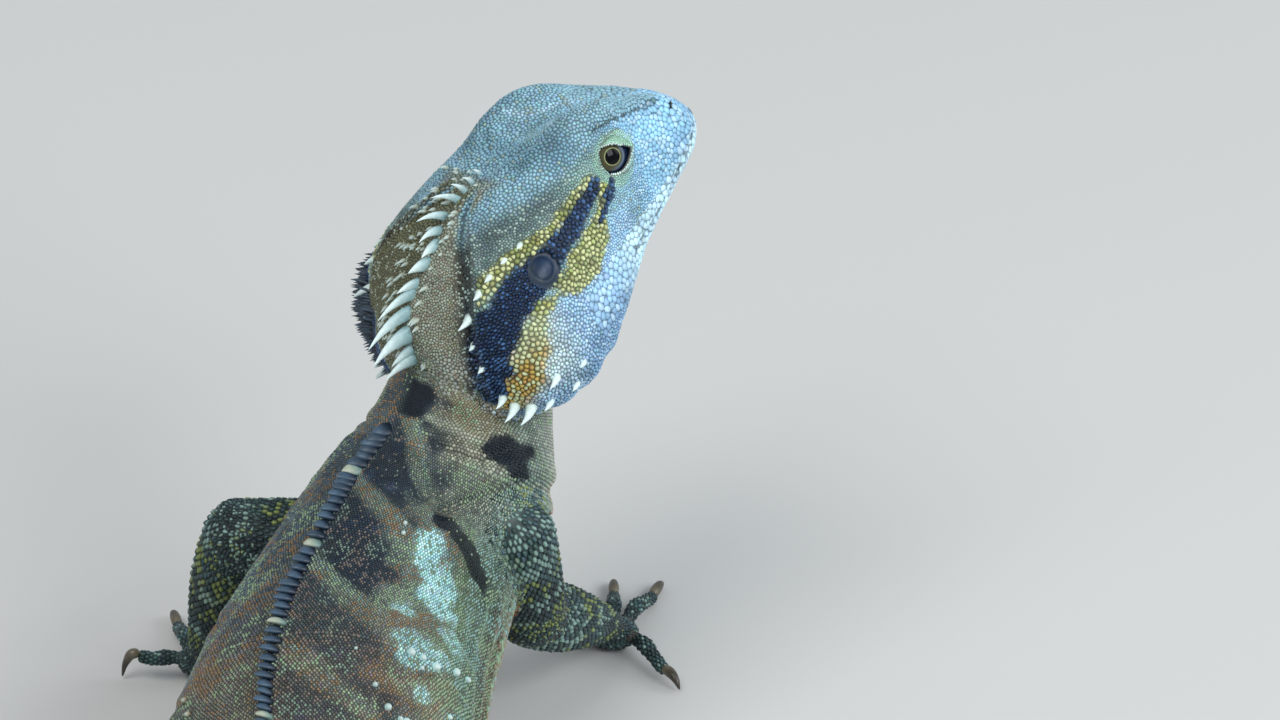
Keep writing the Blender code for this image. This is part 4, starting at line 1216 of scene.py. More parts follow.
@dataclass
class TrunkMarkings:
    """Colours of neck, torso and tail by distance along and angle from the spine."""

    trunk: Trunk
    period: float = 24.5
    first_line: float = 54.5
    slant: float = 0.45
    # Blotches of the neck and shoulder: distance, angle, half length, half angle.
    black: tuple = ((31, 4, 5.5, 24), (38.3, 80, 3.3, 18), (64, 52, 2.2, 5))
    pale: tuple = ((73, 50, 5, 7), (80, 60, 5.5, 8), (91.7, 48, 3.5, 6), (84.3, 66, 3, 7), (102.2, 54, 4, 8),
                   (100.8, 66, 3.5, 7), (92.2, 75, 3.5, 7), (112, 62, 2.5, 5))
    streak: tuple = ((63, 56), (66.5, 68), (70, 82))
    ridge: tuple = ((35, 28), (36.5, 43), (37.4, 55), (37.6, 67), (35, 74))

    def tint(self, points: Array) -> Tint:
        """Bands that lean forward down the flank, then blotches and lines over them.

        Args:
            points: One row a point.

        Returns:
            Colours, chance of a pale scale, and the colour of such a scale.
        """
        along, angle, _ = self.trunk.locate(points)
        turn = np.degrees(angle)
        right = ease(-8, 8, turn)
        turn = np.abs(turn)
        blot = mottle(points, 9, 5)
        fine = mottle(points, 3, 6)
        tail = ease(170, 200, along)
        slanted = along - self.slant * np.minimum(turn, 120) * (1 - tail) + 1.6 * blot
        stretched = np.where(along > 180, 180 - 54 * (1 - tail) + (along - 180) * .8, slanted)
        phase = np.mod((stretched - self.first_line) / self.period, 1)
        dark = ease(.13, .27, phase) * ease(1.0, .86, phase)
        line = np.maximum(hump(phase, 0, .045), hump(phase, 1, .045))
        reach = 50 + 6 * ease(56, 70, along)
        strength = ease(reach, .6 * reach, turn + 9 * blot + 9 * fine)
        strength = strength * (.2 + .8 * right) * (1 - .3 * ease(84, 100, along))
        colour = np.broadcast_to(PALETTE.tan, points.shape).copy()
        colour = blend(colour, PALETTE.slate, .6 * (1 - right) * ease(125, 95, along))
        colour = blend(colour, PALETTE.olive, ease(56, 74, turn) * right * ease(58, 66, along))
        colour = blend(colour, PALETTE.neck, ease(50, 30, along) * ease(20, 45, turn))
        colour = blend(colour, PALETTE.flank, .55 * ease(70, 95, turn))
        colour = blend(colour, PALETTE.warm, (.55 + .3 * blot) * ease(84, 118, along) * ease(100, 60, turn))
        bands = dark * strength * ease(27, 31, along)
        colour = blend(colour, PALETTE.band, bands * (.9 + .1 * fine))
        colour = blend(colour, PALETTE.flank, .5 * line * strength)
        colour = blend(colour, PALETTE.slate, .35 * ease(.3, .9, fine) * bands)
        low = ease(88, 112, turn) * ease(50, 80, along)
        colour = blend(colour, PALETTE.rust, .6 * low * (1 - tail))
        colour = blend(colour, PALETTE.belly, ease(122, 140, turn) * (1 - tail))
        colour = blend(colour, PALETTE.throat, ease(105, 135, turn) * ease(46, 34, along))
        light = np.zeros(len(points))
        for place, where, length, width in self.pale:
            spot = np.hypot((along - place) / length, (turn - where) / width) + .4 * fine + .2 * blot
            light = np.maximum(light, ease(1.3, .75, spot) * (.15 + .85 * right))
        light = light * (1 - .4 * ease(84, 90, along))
        colour = blend(colour, PALETTE.pale, light)
        inky = np.zeros(len(points))
        for place, where, length, width in self.black:
            spot = np.hypot((along - place) / length, (turn - where) / width) + .3 * fine + .2 * blot
            inky = np.maximum(inky, ease(1.2, .9, spot) * (.3 + .7 * right))
        flat = np.stack([along, angle * self.trunk.girth(along)], -1)
        inky = np.maximum(inky, .9 * self.stroke(flat, self.streak, 2.3, 2.6 * fine))
        ridge = self.stroke(flat, self.ridge, 1.1, fine)
        colour = blend(colour, PALETTE.neck_pale, .8 * ridge)
        colour = blend(colour, PALETTE.black, inky)
        tail_colour = blend(PALETTE.tail_pale, PALETTE.tail, .35 + .65 * dark)
        tail_colour = blend(tail_colour, PALETTE.tail_pale, .8 * ease(110, 150, turn))
        colour = blend(colour, tail_colour, tail)
        # Painted shadow of the right arm on the flank behind it.
        arm_shadow = np.exp(-((along - 70) / 7) ** 2 - ((turn - 90) / 18) ** 2) * right
        colour = colour * ((1 + .12 * blot + .14 * fine) * (1 - .5 * arm_shadow))[:, None]
        warm = (1 - light) * (1 - .93 * np.clip(bands, 0, 1)) * (1 - tail)
        chance = warm * (.34 + .2 * blot)
        chance = chance + .12 * light + .25 * tail * (1 - dark) + bands * (.08 + .24 * ease(62, 80, along))
        fleck = blend(PALETTE.rust, np.array(PALETTE.flank) * 1.4, ease(62, 80, turn))
        fleck = blend(fleck, PALETTE.neck_pale, ease(62, 50, along) * ease(20, 40, turn) * .8)
        fleck = blend(fleck, np.array(PALETTE.olive) * 1.4, ease(-.2, .4, mottle(points, 6, 13)))
        fleck = blend(fleck, PALETTE.slate, .5 * ease(.4, .8, bands))
        fleck = blend(fleck, PALETTE.olive, light)
        fleck = blend(fleck, PALETTE.tail_pale, tail)
        return colour, chance * (1 - inky), fleck

    def stroke(self, flat: Array, path: tuple, width: float, fine: Array) -> Array:
        """Share of a stroke of even width along a path of distances and angles.

        Args:
            flat: Places as distance along and length round.
            path: Corners as distance along and angle in degrees.
            width: Half width of the stroke.
            fine: Blotchy pattern that makes its edge ragged.

        Returns:
            1 inside the stroke, 0 outside it.
        """
        corners = np.array(path, float)
        girth = self.trunk.girth(corners[:, 0])
        away, _ = off_line(flat, np.stack([corners[:, 0], np.radians(corners[:, 1]) * girth], -1))
        return ease(width + .5, width - .6, away + .4 * fine)


@dataclass
class LimbMarkings:
    """Colours of legs, hands and feet: dark, with pale bars and flecks."""

    limb: Limb
    bar: float = 9.5

    def tint(self, points: Array) -> Tint:
        """Bars across the limb from the distance along its axis, bent by a blotchy pattern.

        Args:
            points: One row a point.

        Returns:
            Colours, chance of a pale scale, and the colour of such a scale.
        """
        along = (points - np.array(self.limb.start, float)) @ self.limb.axis
        blot = mottle(points, 8, 7)
        fine = mottle(points, 3.6, 8)
        light = ease(-.1, .8, np.sin(2 * math.pi * along / self.bar + 1.6 * blot))
        root = ease(.45, .1, along / self.limb.length)
        colour = blend(PALETTE.limb, PALETTE.toe, .25 + .25 * blot + .5 * root)
        colour = colour * (1 + .18 * fine)[:, None]
        chance = .18 + .42 * light * ease(-.6, .4, fine) + .25 * root
        upper = ease(-.1, .6, mottle(points, 7, 14) + .8 * root - .1)
        return colour, chance, blend(PALETTE.limb_gold, PALETTE.limb_pale, upper)


@dataclass
class ToeMarkings:
    """Colours of digits and palms: dark rings and paler ones."""

    root: Array
    ring: float = 5.2

    def tint(self, points: Array) -> Tint:
        """Rings from the distance to the root of the digit.

        Args:
            points: One row a point.

        Returns:
            Colours, chance of a pale scale, and the colour of such a scale.
        """
        away = np.linalg.norm(points - self.root, axis=1)
        fine = mottle(points, 3, 9)
        light = ease(-.1, .7, np.sin(2 * math.pi * away / self.ring + .8 * fine))
        colour = blend(PALETTE.limb, PALETTE.toe, .35 + .65 * light)
        fleck = np.broadcast_to(PALETTE.limb_pale, points.shape)
        return colour * (1 + .15 * fine)[:, None], .06 + .1 * light, fleck


@dataclass
class LidMarkings:
    """Colours of the skin round an eye, from the distance outside its opening."""

    ball: Ball
    around_it: HeadMarkings

    def tint(self, points: Array) -> Tint:
        """Cream margin, pale green lids with painted shade along the crease, then the colours of the head.

        Args:
            points: One row a point.

        Returns:
            Colours, chance of a pale scale, and the colour of such a scale.
        """
        offset = unit(points - self.ball.centre) @ self.ball.axes.T
        polar = np.arccos(np.clip(offset[:, 2], -1, 1))
        turn = np.arctan2(offset[:, 1], offset[:, 0])
        beyond = self.ball.beyond(polar, turn)
        crease = self.ball.crease_at(turn)
        above = self.ball.upper(turn)
        fine = mottle(points, 1.6, 10)
        colour, chance, fleck = self.around_it.tint(points)
        ring = ease(.45, .05, beyond - crease)
        colour = blend(colour, PALETTE.lid, .9 * ease(3.4, 2.0, beyond - crease) * above)
        colour = blend(colour, PALETTE.lid, ring)
        colour = blend(colour, PALETTE.cream, .7 * ease(1.5, 1.0, beyond) * (1 - above))
        # Painted shade in the crease of the lids.
        colour = blend(colour, PALETTE.temple, .8 * hump(beyond, crease, .15) * (.3 + .7 * above))
        colour = blend(colour, PALETTE.cream, .85 * ease(.5, .2, beyond))
        return colour * (1 + .08 * fine)[:, None], chance * (1 - ring), fleck


@dataclass(frozen=True)
class Finish:
    """Surface of one kind of piece: colour from its tint attribute, gloss, and fine relief."""

    name: str
    roughness: float
    specular: float = .5
    grain: float = 0.0
    grain_size: float = .35
    mottling: float = .12
    mottle_size: float = 1.4

    def material(self) -> bpy.types.Material:
        """Principled material whose colour is the tint times a noise, bumped by a finer noise.

        Returns:
            The material, made once for each finish.
        """
        known = bpy.data.materials.get(self.name)
        if known:
            return known
        material = bpy.data.materials.new(self.name)
        material.use_nodes = True
        nodes = material.node_tree.nodes
        links = material.node_tree.links
        shader = nodes["Principled BSDF"]
        shader.inputs["Roughness"].default_value = self.roughness
        shader.inputs["Specular IOR Level"].default_value = self.specular
        tint = nodes.new("ShaderNodeAttribute")
        tint.attribute_name = TINT
        place = nodes.new("ShaderNodeTexCoord")
        noise = nodes.new("ShaderNodeTexNoise")
        noise.inputs["Scale"].default_value = 1 / (self.mottle_size * MM)
        noise.inputs["Detail"].default_value = 3
        links.new(place.outputs["Object"], noise.inputs["Vector"])
        span = nodes.new("ShaderNodeMapRange")
        limits = {"From Min": .3, "From Max": .7, "To Min": 1 - self.mottling, "To Max": 1 + self.mottling}
        for limit, value in limits.items():
            span.inputs[limit].default_value = value
        links.new(noise.outputs["Fac"], span.inputs["Value"])
        mix = nodes.new("ShaderNodeVectorMath")
        mix.operation = "SCALE"
        links.new(tint.outputs["Color"], mix.inputs[0])
        links.new(span.outputs["Result"], mix.inputs["Scale"])
        links.new(mix.outputs["Vector"], shader.inputs["Base Color"])
        if self.grain:
            fine = nodes.new("ShaderNodeTexNoise")
            fine.inputs["Scale"].default_value = 1 / (self.grain_size * MM)
            fine.inputs["Detail"].default_value = 2
            links.new(place.outputs["Object"], fine.inputs["Vector"])
            bump = nodes.new("ShaderNodeBump")
            bump.inputs["Strength"].default_value = self.grain
            bump.inputs["Distance"].default_value = .1 * MM
            links.new(fine.outputs["Fac"], bump.inputs["Height"])
            links.new(bump.outputs["Normal"], shader.inputs["Normal"])
        return material


SKIN_FINISH = Finish("skin", roughness=.62, grain=.5, grain_size=.3)
SCALE_FINISH = Finish("scales", roughness=.46, specular=.32, grain=.25, grain_size=.25)
SPINE_FINISH = Finish("spines", roughness=.42, grain=.4, grain_size=.5, mottling=.10, mottle_size=.8)
HORN_FINISH = Finish("claw_horn", roughness=.3, grain=.3, grain_size=.4, mottling=.25, mottle_size=1.0)
EYE_FINISH = Finish("eyes", roughness=.05, specular=.12, mottling=.12, mottle_size=.5)
DRUM_FINISH = Finish("ear_drums", roughness=.36, specular=.3, grain=.3, grain_size=.6)


def dress(thing: bpy.types.Object, finish: Finish) -> None:
    """Give a piece its finish, and let it ride on the body.

    Args:
        thing: The piece.
        finish: Its surface.
    """
    thing.data.materials.clear()
    thing.data.materials.append(finish.material())
    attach(thing, BODY)
    thing.data.calc_loop_triangles()
    LOG.info("%s: %d triangles", thing.name, len(thing.data.loop_triangles))


@dataclass
class Region:
    """One closed form that is fused into the skin."""

    form: Form
    markings: Markings
    bands: list[tuple[Array, Array]]
    depth: float

    def solid(self, number: int) -> bpy.types.Object:
        """Closed mesh of the form, sunk by the coat's depth, with its number on every vertex.

        Args:
            number: Number of the region.

        Returns:
            The mesh object.
        """
        grids = [self.form.surface(along[:, None], turn[None], -self.depth) for along, turn in self.bands]
        thing = make_piece("region", *loft(grids))
        mark = thing.data.attributes.new("region", "FLOAT", "POINT")
        mark.data.foreach_set("value", np.full(len(thing.data.vertices), number, np.float32))
        return thing


def neighbours(thing: bpy.types.Object) -> tuple[Array, Array]:
    """Both ends of every edge of a mesh, in both directions."""
    flat = np.empty(len(thing.data.edges) * 2, np.int32)
    thing.data.edges.foreach_get("vertices", flat)
    pairs = flat.reshape(-1, 2)
    return np.concatenate([pairs[:, 0], pairs[:, 1]]), np.concatenate([pairs[:, 1], pairs[:, 0]])


def averaged(values: Array, ends: tuple[Array, Array]) -> Array:
    """Mean of each vertex's neighbours.

    Args:
        values: One row a vertex.
        ends: Both ends of every edge, in both directions.

    Returns:
        One row a vertex.
    """
    count = np.maximum(np.bincount(ends[0], minlength=len(values)), 1)
    columns = [np.bincount(ends[0], weights=values[ends[1], k], minlength=len(values)) / count
               for k in range(values.shape[1])]
    return np.stack(columns, -1)


@dataclass
class Skin:
    """The animal's whole skin as one closed mesh."""

    regions: list[Region]
    cutters: list[bpy.types.Object]
    grooves: list[tuple[Array, float, float]]
    rounds: int = 14
    spread: int = 4
    cutter_number: int = 99
    # Factor on the colours, because the skin shows only in the seams between scales: painted shade in those
    # gaps.
    shade: float = .36

    def build(self) -> bpy.types.Object:
        """Fuse the regions, soften the lines where they meet, and cut sockets and nostrils.

        Returns:
            The skin, painted with the markings of each region and darkened by painted shade in the seams.
        """
        parts = [region.solid(number) for number, region in enumerate(self.regions)]
        skin = parts[0]
        skin.name = "skin"
        combine(skin, parts[1:], "UNION")
        self.soften(skin)
        self.carve(skin)
        combine(skin, self.cutters, "DIFFERENCE")
        points = places_of(skin)
        number = self.numbers(skin)
        # Walls of sockets, eye openings and nostrils stay dark: painted shade in these recesses.
        colours = np.broadcast_to(PALETTE.temple, points.shape) * .6
        for index, region in enumerate(self.regions):
            own = number == index
            if own.any():
                # Region colours times the shade factor: painted shade in the gaps between scales.
                colours[own] = region.markings.tint(points[own])[0] * self.shade
        ends = neighbours(skin)
        for _ in range(2):
            colours = .5 * colours + .5 * averaged(colours, ends)
        skin.data.polygons.foreach_set("use_smooth", np.ones(len(skin.data.polygons), bool))
        paint(skin, colours)
        return skin

    def numbers(self, skin: bpy.types.Object) -> Array:
        """Number of the region that each vertex came from."""
        values = np.empty(len(skin.data.vertices), np.float32)
        skin.data.attributes["region"].data.foreach_get("value", values)
        return np.round(values).astype(int)

    def soften(self, skin: bpy.types.Object) -> None:
        """Move vertices near the meeting lines towards the mean of their neighbours, again and again.

        Args:
            skin: The fused skin.
        """
        points = places_of(skin)
        number = self.numbers(skin)
        ends = neighbours(skin)
        meeting = np.zeros((len(points), 1))
        meeting[ends[0][number[ends[0]] != number[ends[1]]]] = 1
        for _ in range(self.spread):
            meeting = np.maximum(meeting, averaged(meeting, ends) * 1.25)
        share = np.clip(meeting, 0, 1) * .6
        for _ in range(self.rounds):
            points = points + share * (averaged(points, ends) - points)
        set_places(skin, points)

    def carve(self, skin: bpy.types.Object) -> None:
        """Sink the skin along lines in space by depth * (exp(-(d/w)^2) - .4 exp(-((d-2.2w)/w)^2)).

        Args:
            skin: The softened skin.
        """
        points = places_of(skin)
        normals = np.empty(len(points) * 3, np.float32)
        skin.data.vertices.foreach_get("normal", normals)
        normals = normals.reshape(-1, 3)
        moved = np.zeros(len(points))
        for line, depth, width in self.grooves:
            away, place = off_line(points, line)
            fade = ease(0, .6, place) * ease(len(line) - 1, len(line) - 1.6, place)
            moved -= depth * fade * (hump(away, 0, width) - .4 * hump(away, 2.2 * width, width))
        set_places(skin, points + normals * moved[:, None])


@dataclass(frozen=True)
class ScaleKind:
    """Form of one kind of scale. Its rim, sunk in the skin, follows the cell between its neighbours.

    Inside the rim stand the two points of a keel or, where crown is above 0, a ring and a middle.
    """

    sides: int = 6
    fill: float = 1.04
    height: float = .30
    keel: tuple = (-.40, .70)
    front: float = .80
    point: float = 1.20
    lift: float = .12
    sink: float = .12
    crown: float = 0.0
    shoulder: float = .80
    # Factor on the colour at the rim: painted shade between neighbouring scales.
    seam: float = .44
    vary: float = .34
    tilt: float = .10

    def template(self) -> tuple[Array, Array, Array, Array, Array]:
        """Corners and triangles of a scale that is 1 wide.

        Returns:
            For each corner its angle from the lie, its part of the cell, its height and its
            painted shade, dark at the rim with painted highlight on crown and keel, and then the triangles.
        """
        angle = around(self.sides)
        behind = np.clip(np.cos(angle), 0, 1)
        part = self.fill * (1 + (self.point - 1) * behind**2)
        low = self.lift * behind - self.sink
        # Painted shade at the rim, lighter towards the lifted rear edge as painted light.
        dark = self.seam + .3 * self.lift / .12 * behind
        pick = np.arange(self.sides)
        after = (pick + 1) % self.sides
        foot = np.stack([np.zeros(self.sides - 2, int), pick[2:], pick[1:-1]], -1)
        # Crown ring, middle and keel points are painted brighter than the rim: painted highlight.
        if self.crown:
            inner = pick + self.sides
            next_inner = after + self.sides
            middle = np.full(self.sides, 2 * self.sides)
            rows = ((pick, after, next_inner), (pick, next_inner, inner), (inner, next_inner, middle))
            walls = [np.stack(row, -1) for row in rows]
            return (np.concatenate([angle, angle, [0]]), np.concatenate([part, part * self.crown, [0]]),
                    np.concatenate([low, np.full(self.sides, self.height * self.shoulder), [self.height]]),
                    np.concatenate([dark, np.full(self.sides, .96), [1.08]]), np.concatenate(walls + [foot]))
        faces = [(0, 1, 7), (1, 2, 6), (1, 6, 7), (2, 3, 6), (3, 4, 6), (4, 5, 6), (5, 7, 6), (5, 0, 7)]
        return (np.append(angle, [math.pi, 0]), np.append(part, [-self.keel[0], self.keel[1]]),
                np.append(low, [self.height * self.front, self.height]), np.append(dark, [1.10, 1.28]),
                np.concatenate([faces, foot]))


KEELED = ScaleKind()
GRANULE = ScaleKind(height=.24, point=1.0, lift=0, crown=.66, shoulder=.72, seam=.56, vary=.20)
PLATE = ScaleKind(sides=8, height=.11, point=1.0, lift=0, crown=.84, shoulder=.74, seam=.50, vary=.11,
                  tilt=.05)
LID = ScaleKind(height=.15, point=1.0, lift=0, crown=.70, shoulder=.75, seam=.82, vary=.07, tilt=.05)
DOME = ScaleKind(height=.40, point=1.0, lift=0, crown=.66, shoulder=.70, seam=.40, vary=.20)
SPIKY = ScaleKind(height=.75, keel=(-.1, .80), front=.45, point=1.2, lift=.2, seam=.5, vary=.30)


@dataclass
class Batch:
    """Scales of one kind on one form: places, pitches, the unwrap and the markings."""

    form: Form
    markings: Markings
    along: Array
    turn: Array
    pitch: Array
    depth: float
    kind: ScaleKind = KEELED
    # Small steps along and round that show the lie and the side of a scale.
    step: tuple = (.5, .03)
    # Farthest that a scale's place may be from the skin.
    stray: float = 2.4
    # Spread of the turn of each rim in radians, and of the places in pitches.
    wild: float = .14
    jitter: float = .06
    seed: int = SEED

    def __post_init__(self) -> None:
        """Move each place a little, by a part of its pitch."""
        dice = np.random.default_rng(self.seed)
        moves = dice.normal(0, self.jitter, (2, len(self.along))) * self.pitch
        self.along = self.along + moves[0]
        self.turn = self.turn + moves[1] * self.step[1] / self.step[0]

    def roots(self, skin: bpy.types.Object) -> tuple[Array, Array, Array, Array, Array]:
        """Places of the scales on the skin, with the lie, the side, the normal and which are kept.

        A scale is dropped where its place on the form is farther than the stray length from the
        skin, because another form covers it there.

        Args:
            skin: The skin that they stand on.

        Returns:
            Points, three directions, and the kept numbers.
        """
        here = self.form.surface(self.along, self.turn, -self.depth)
        after = self.form.surface(self.along + self.step[0], self.turn, -self.depth)
        beside = self.form.surface(self.along, self.turn + self.step[1], -self.depth)
        out = self.form.surface(self.along, self.turn, 1 - self.depth) - here
        count = len(here)
        placed = snapped(np.concatenate([here, after, beside]), skin)
        root = placed[:count]
        kept = np.linalg.norm(root - here, axis=1) < self.stray
        lie = unit(placed[count:2 * count] - root)
        side = placed[2 * count:] - root
        normal = np.cross(lie, side)
        size = np.linalg.norm(normal, axis=1)
        kept &= size > 1e-3
        normal = unit(normal)
        normal = np.where(((normal * out).sum(1) < 0)[:, None], -normal, normal)
        kept &= (normal * unit(out)).sum(1) > .05
        return root[kept], lie[kept], np.cross(normal, lie)[kept], normal[kept], np.flatnonzero(kept)

    def unwrap(self) -> Array:
        """Place of each root in the unit square: how far round, and how far along."""
        parts = [(row - row.min()) / (np.ptp(row) + 1e-6) for row in (self.turn, self.along)]
        return np.stack(parts, -1)


@dataclass
class Coat:
    """Scales of one part of the body, joined into as few pieces as the limit allows."""

    name: str
    slot: str
    batches: list[Batch]
    rounds: int = 1
    # Farthest rim of a scale in pitches, and the least cosine at which a neighbour bounds it.
    reach: float = .80
    facing: float = .15
    seed: int = SEED

    def build(self, skin: bpy.types.Object) -> int:
        """Scatter the batches on the skin and make the pieces.

        Args:
            skin: The skin that the scales stand on.

        Returns:
            Number of scales.
        """
        dice = np.random.default_rng(self.seed)
        tiles = math.ceil(math.sqrt(len(self.batches)))
        found = [batch.roots(skin) for batch in self.batches]
        root, lie, side, normal = (np.concatenate(parts) for parts in list(zip(*found))[:4])
        pitch = np.concatenate([batch.pitch[one[4]] for batch, one in zip(self.batches, found)])
        root = self.spaced(root, normal, pitch, skin)
        others, away = nearest(root, 1.6 * pitch.max(), 9)
        offset = root[others] - root[:, None]
        ahead = (offset * lie[:, None]).sum(-1)
        beside = (offset * side[:, None]).sum(-1)
        edge = np.hypot(ahead, beside) * pitch[:, None] / (pitch[:, None] + pitch[others])
        edge = np.where(np.isfinite(away), edge, FAR)
        bearing = np.arctan2(beside, ahead)
        layers = []
        first = 0
        for number, (batch, (_, _, _, _, kept)) in enumerate(zip(self.batches, found)):
            own = slice(first, first + len(kept))
            first = own.stop
            kind = batch.kind
            angle, part, rise, shade, triangles = kind.template()
            count = len(kept)
            angle = angle + dice.normal(0, batch.wild, (count, 1))
            facing = np.cos(angle[..., None] - bearing[own, None])
            borders = edge[own, None] / np.maximum(facing, self.facing)
            reach = np.where(facing > self.facing, borders, FAR).min(-1)
            reach = np.minimum(reach, self.reach * pitch[own, None])
            size = 2 * reach[:, :kind.sides].mean(1)
            tall = size * dice.uniform(.8, 1.25, count)
            flat = np.stack([np.cos(angle), np.sin(angle)], -1) * (reach * part)[..., None]
            tilt = dice.normal(0, kind.tilt, (count, 2))
            stand = unit(normal[own] + lie[own] * tilt[:, :1] + side[own] * tilt[:, 1:])
            shape = root[own, None] + lie[own, None] * flat[..., :1] + side[own, None] * flat[..., 1:]
            shape = shape + stand[:, None] * (rise * tall[:, None])[..., None]
            shape[..., 2] = np.maximum(shape[..., 2], 0)
            colour, chance, fleck = batch.markings.tint(root[own])
            colour = colour * dice.uniform(1 - kind.vary, 1 + kind.vary, (count, 1))
            colour = colour * (1 + .22 * kind.vary * dice.normal(0, 1, (count, 3))).clip(.5, 1.5)
            chosen = dice.uniform(size=count) < chance
            colour = np.where(chosen[:, None], fleck * dice.uniform(.85, 1.12, (count, 1)), colour)
            cell = np.array([number % tiles, number // tiles])
            patch = (cell + .02 + .96 * batch.unwrap()[kept]) / tiles
            patch = patch[:, None] + flat / size[:, None, None] * BAKE_PATCH
            # Each corner's colour times its factor from the template: painted shade at rims, painted
            # highlight on tops.
            layers.append((shape, colour[:, None] * shade[None, :, None], patch, triangles))
        self.pieces(layers)
        return len(root)

    def spaced(self, root: Array, normal: Array, pitch: Array, skin: bpy.types.Object) -> Array:
        """Push scales that stand closer than their pitch apart along the skin, a few times.

        Args:
            root: Places of the scales.
            normal: Directions out of the skin.
            pitch: Distances wanted.
            skin: The skin that they stand on.

        Returns:
            New places on the skin.
        """
        for _ in range(self.rounds):
            others, away = nearest(root, 1.2 * pitch.max(), 7)
            push = np.clip(.5 * (pitch[:, None] + pitch[others]) / np.maximum(away, .05) - 1, 0, .8)
            move = ((root[:, None] - root[others]) * push[..., None]).sum(1) * .25
            root = root + move - normal * (move * normal).sum(1, keepdims=True)
        return snapped(root, skin)

    def pieces(self, layers: list[tuple[Array, Array, Array, Array]]) -> None:
        """Join the scales into pieces under the triangle limit, each with a share of every batch.

        Args:
            layers: For each batch its corners, their colours, their places on the unwrap, and
                the triangles of one scale.
        """
        total = sum(len(shape) * len(triangles) for shape, _, _, triangles in layers)
        parts = math.ceil(total / MOST_TRIANGLES)
        for number in range(parts):
            points, colours, patches, faces = [], [], [], []
            count = 0
            for shape, colour, patch, triangles in layers:
                own = slice(len(shape) * number // parts, len(shape) * (number + 1) // parts)
                corners = shape.shape[1]
                scales = own.stop - own.start
                shift = count + corners * np.arange(scales)[:, None, None]
                faces.append((triangles[None] + shift).reshape(-1, 3))
                points.append(shape[own].reshape(-1, 3))
                colours.append(colour[own].reshape(-1, 3))
                patches.append(patch[own].reshape(-1, 2))
                count += scales * corners
            name = self.name if parts == 1 else f"{self.name}_{number + 1}"
            faces = np.concatenate(faces)
            piece = make_piece(name, np.concatenate(points), np.empty((0, 4), int), faces)
            paint(piece, np.concatenate(colours))
            layer = piece.data.uv_layers.new(name=BAKE_MAP)
            layer.uv.foreach_set("vector", np.concatenate(patches)[faces.ravel()].astype(np.float32).ravel())
            dress(piece, SCALE_FINISH)


@dataclass(frozen=True)
class SpikeKind:
    """Form of a spine, lobe or tubercle: rings that shrink as (1 - t^fullness)^sharpness."""

    rings: int = 9
    sides: int = 12
    fullness: float = 1.6
    sharpness: float = .8
    bend: float = .45
    sink: float = .9
    # Depth of the lengthwise ridges, one for every two sides.
    ridges: float = .05
    # Power on the profile for the half length; below 1 it keeps its length nearly to the top.
    keep: float = 1.0


@dataclass
class Spikes:
    """Many spines of one kind, worked out together and joined into one piece."""

    kind: SpikeKind
    roots: list = field(default_factory=list)

    def add(self, root: Array, lean: Array, lie: Array, length: float, half_long: float, half_wide: float,
            base: Colour, tip: Colour) -> None:
        """Note one spine: where it stands, where it points and bends, its sizes and colours."""
        self.roots.append((root, lean, lie, length, half_long, half_wide, base, tip))

    def build(self, name: str, slot: str) -> bpy.types.Object:
        """Rings from under the skin to the tip: root + lean * t * length + lie * bend * t^2 * length.

        Args:
            name: Name of the piece.
            slot: Not used.

        Returns:
            The piece.
        """
        kind = self.kind
        columns = list(zip(*self.roots))
        root, lean, lie = [np.array(column, float)[:, None, None] for column in columns[:3]]
        sizes = [np.array(column, float)[:, None, None, None] for column in columns[3:6]]
        length, half_long, half_wide = sizes
        lean = unit(lean)
        lie = unit(lie - lean * (lie * lean).sum(-1, keepdims=True))
        across = np.cross(lean, lie)
        t = np.concatenate([[-1], np.linspace(0, .97, kind.rings)])[None, :, None, None]
        turn = around(kind.sides)[None, None, :, None]
        up = np.where(t < 0, -kind.sink, t * length)
        rise = np.clip(t, 0, 1)
        width = (1 - rise ** kind.fullness) ** kind.sharpness
        width = width * (1 + kind.ridges * np.cos(turn * kind.sides / 2) * (1 - rise))
        centre = root + lean * up + lie * kind.bend * length * rise**2
        ring = lie * (np.cos(turn) * half_long * width**kind.keep)
        grid = centre + (ring + across * (np.sin(turn) * half_wide * width))
        tip = root + lean * length + lie * kind.bend * length
        count, rings, sides = grid.shape[:3]
        own = np.concatenate([grid.reshape(count, -1, 3), tip[:, 0], centre[:, 0]], 1)
        quads = ring_quads(rings, sides)
        side = np.arange(sides)
        after = (side + 1) % sides
        last = (rings - 1) * sides
        top = np.stack([last + side, last + after, np.full(sides, rings * sides)], -1)
        foot = np.stack([after, side, np.full(sides, rings * sides + 1)], -1)
        triangles = np.concatenate([top, foot])
        if room_inside(own[0], quads, triangles) < 0:
            quads = quads[:, ::-1]
            triangles = triangles[:, ::-1]
        shift = (np.arange(count) * own.shape[1])[:, None, None]
        piece = make_piece(name, own.reshape(-1, 3), (quads[None] + shift).reshape(-1, 4),
                           (triangles[None] + shift).reshape(-1, 3))
        first, final = [np.array(column, float)[:, None] for column in columns[6:8]]
        part = np.concatenate([np.repeat(rise[0, :, 0, 0], sides), [1, 0]])[None, :, None]
        share = ease(0, .8, part)
        paint(piece, (first * (1 - share) + final * share).reshape(-1, 3))
        dress(piece, SPINE_FINISH)
        return piece


def hexagonal(start: float, end: float, count: int, rise: float,
              spread: tuple = (-180, 180)) -> tuple[Array, Array]:
    """Staggered rows of places round a tube.

    Args:
        start: First distance along.
        end: Last distance along.
        count: Places round the whole tube.
        rise: Distance between rows.
        spread: First and last angle in degrees that is kept.

    Returns:
        Distances and angles in radians.
    """
    rows = np.arange(start, end, rise)
    turn = (np.arange(count)[None] + .5 * (np.arange(len(rows)) % 2)[:, None]) * 2 * math.pi / count - math.pi
    along = np.broadcast_to(rows[:, None], turn.shape)
    kept = (turn >= math.radians(spread[0])) & (turn < math.radians(spread[1]))
    return along[kept], turn[kept]


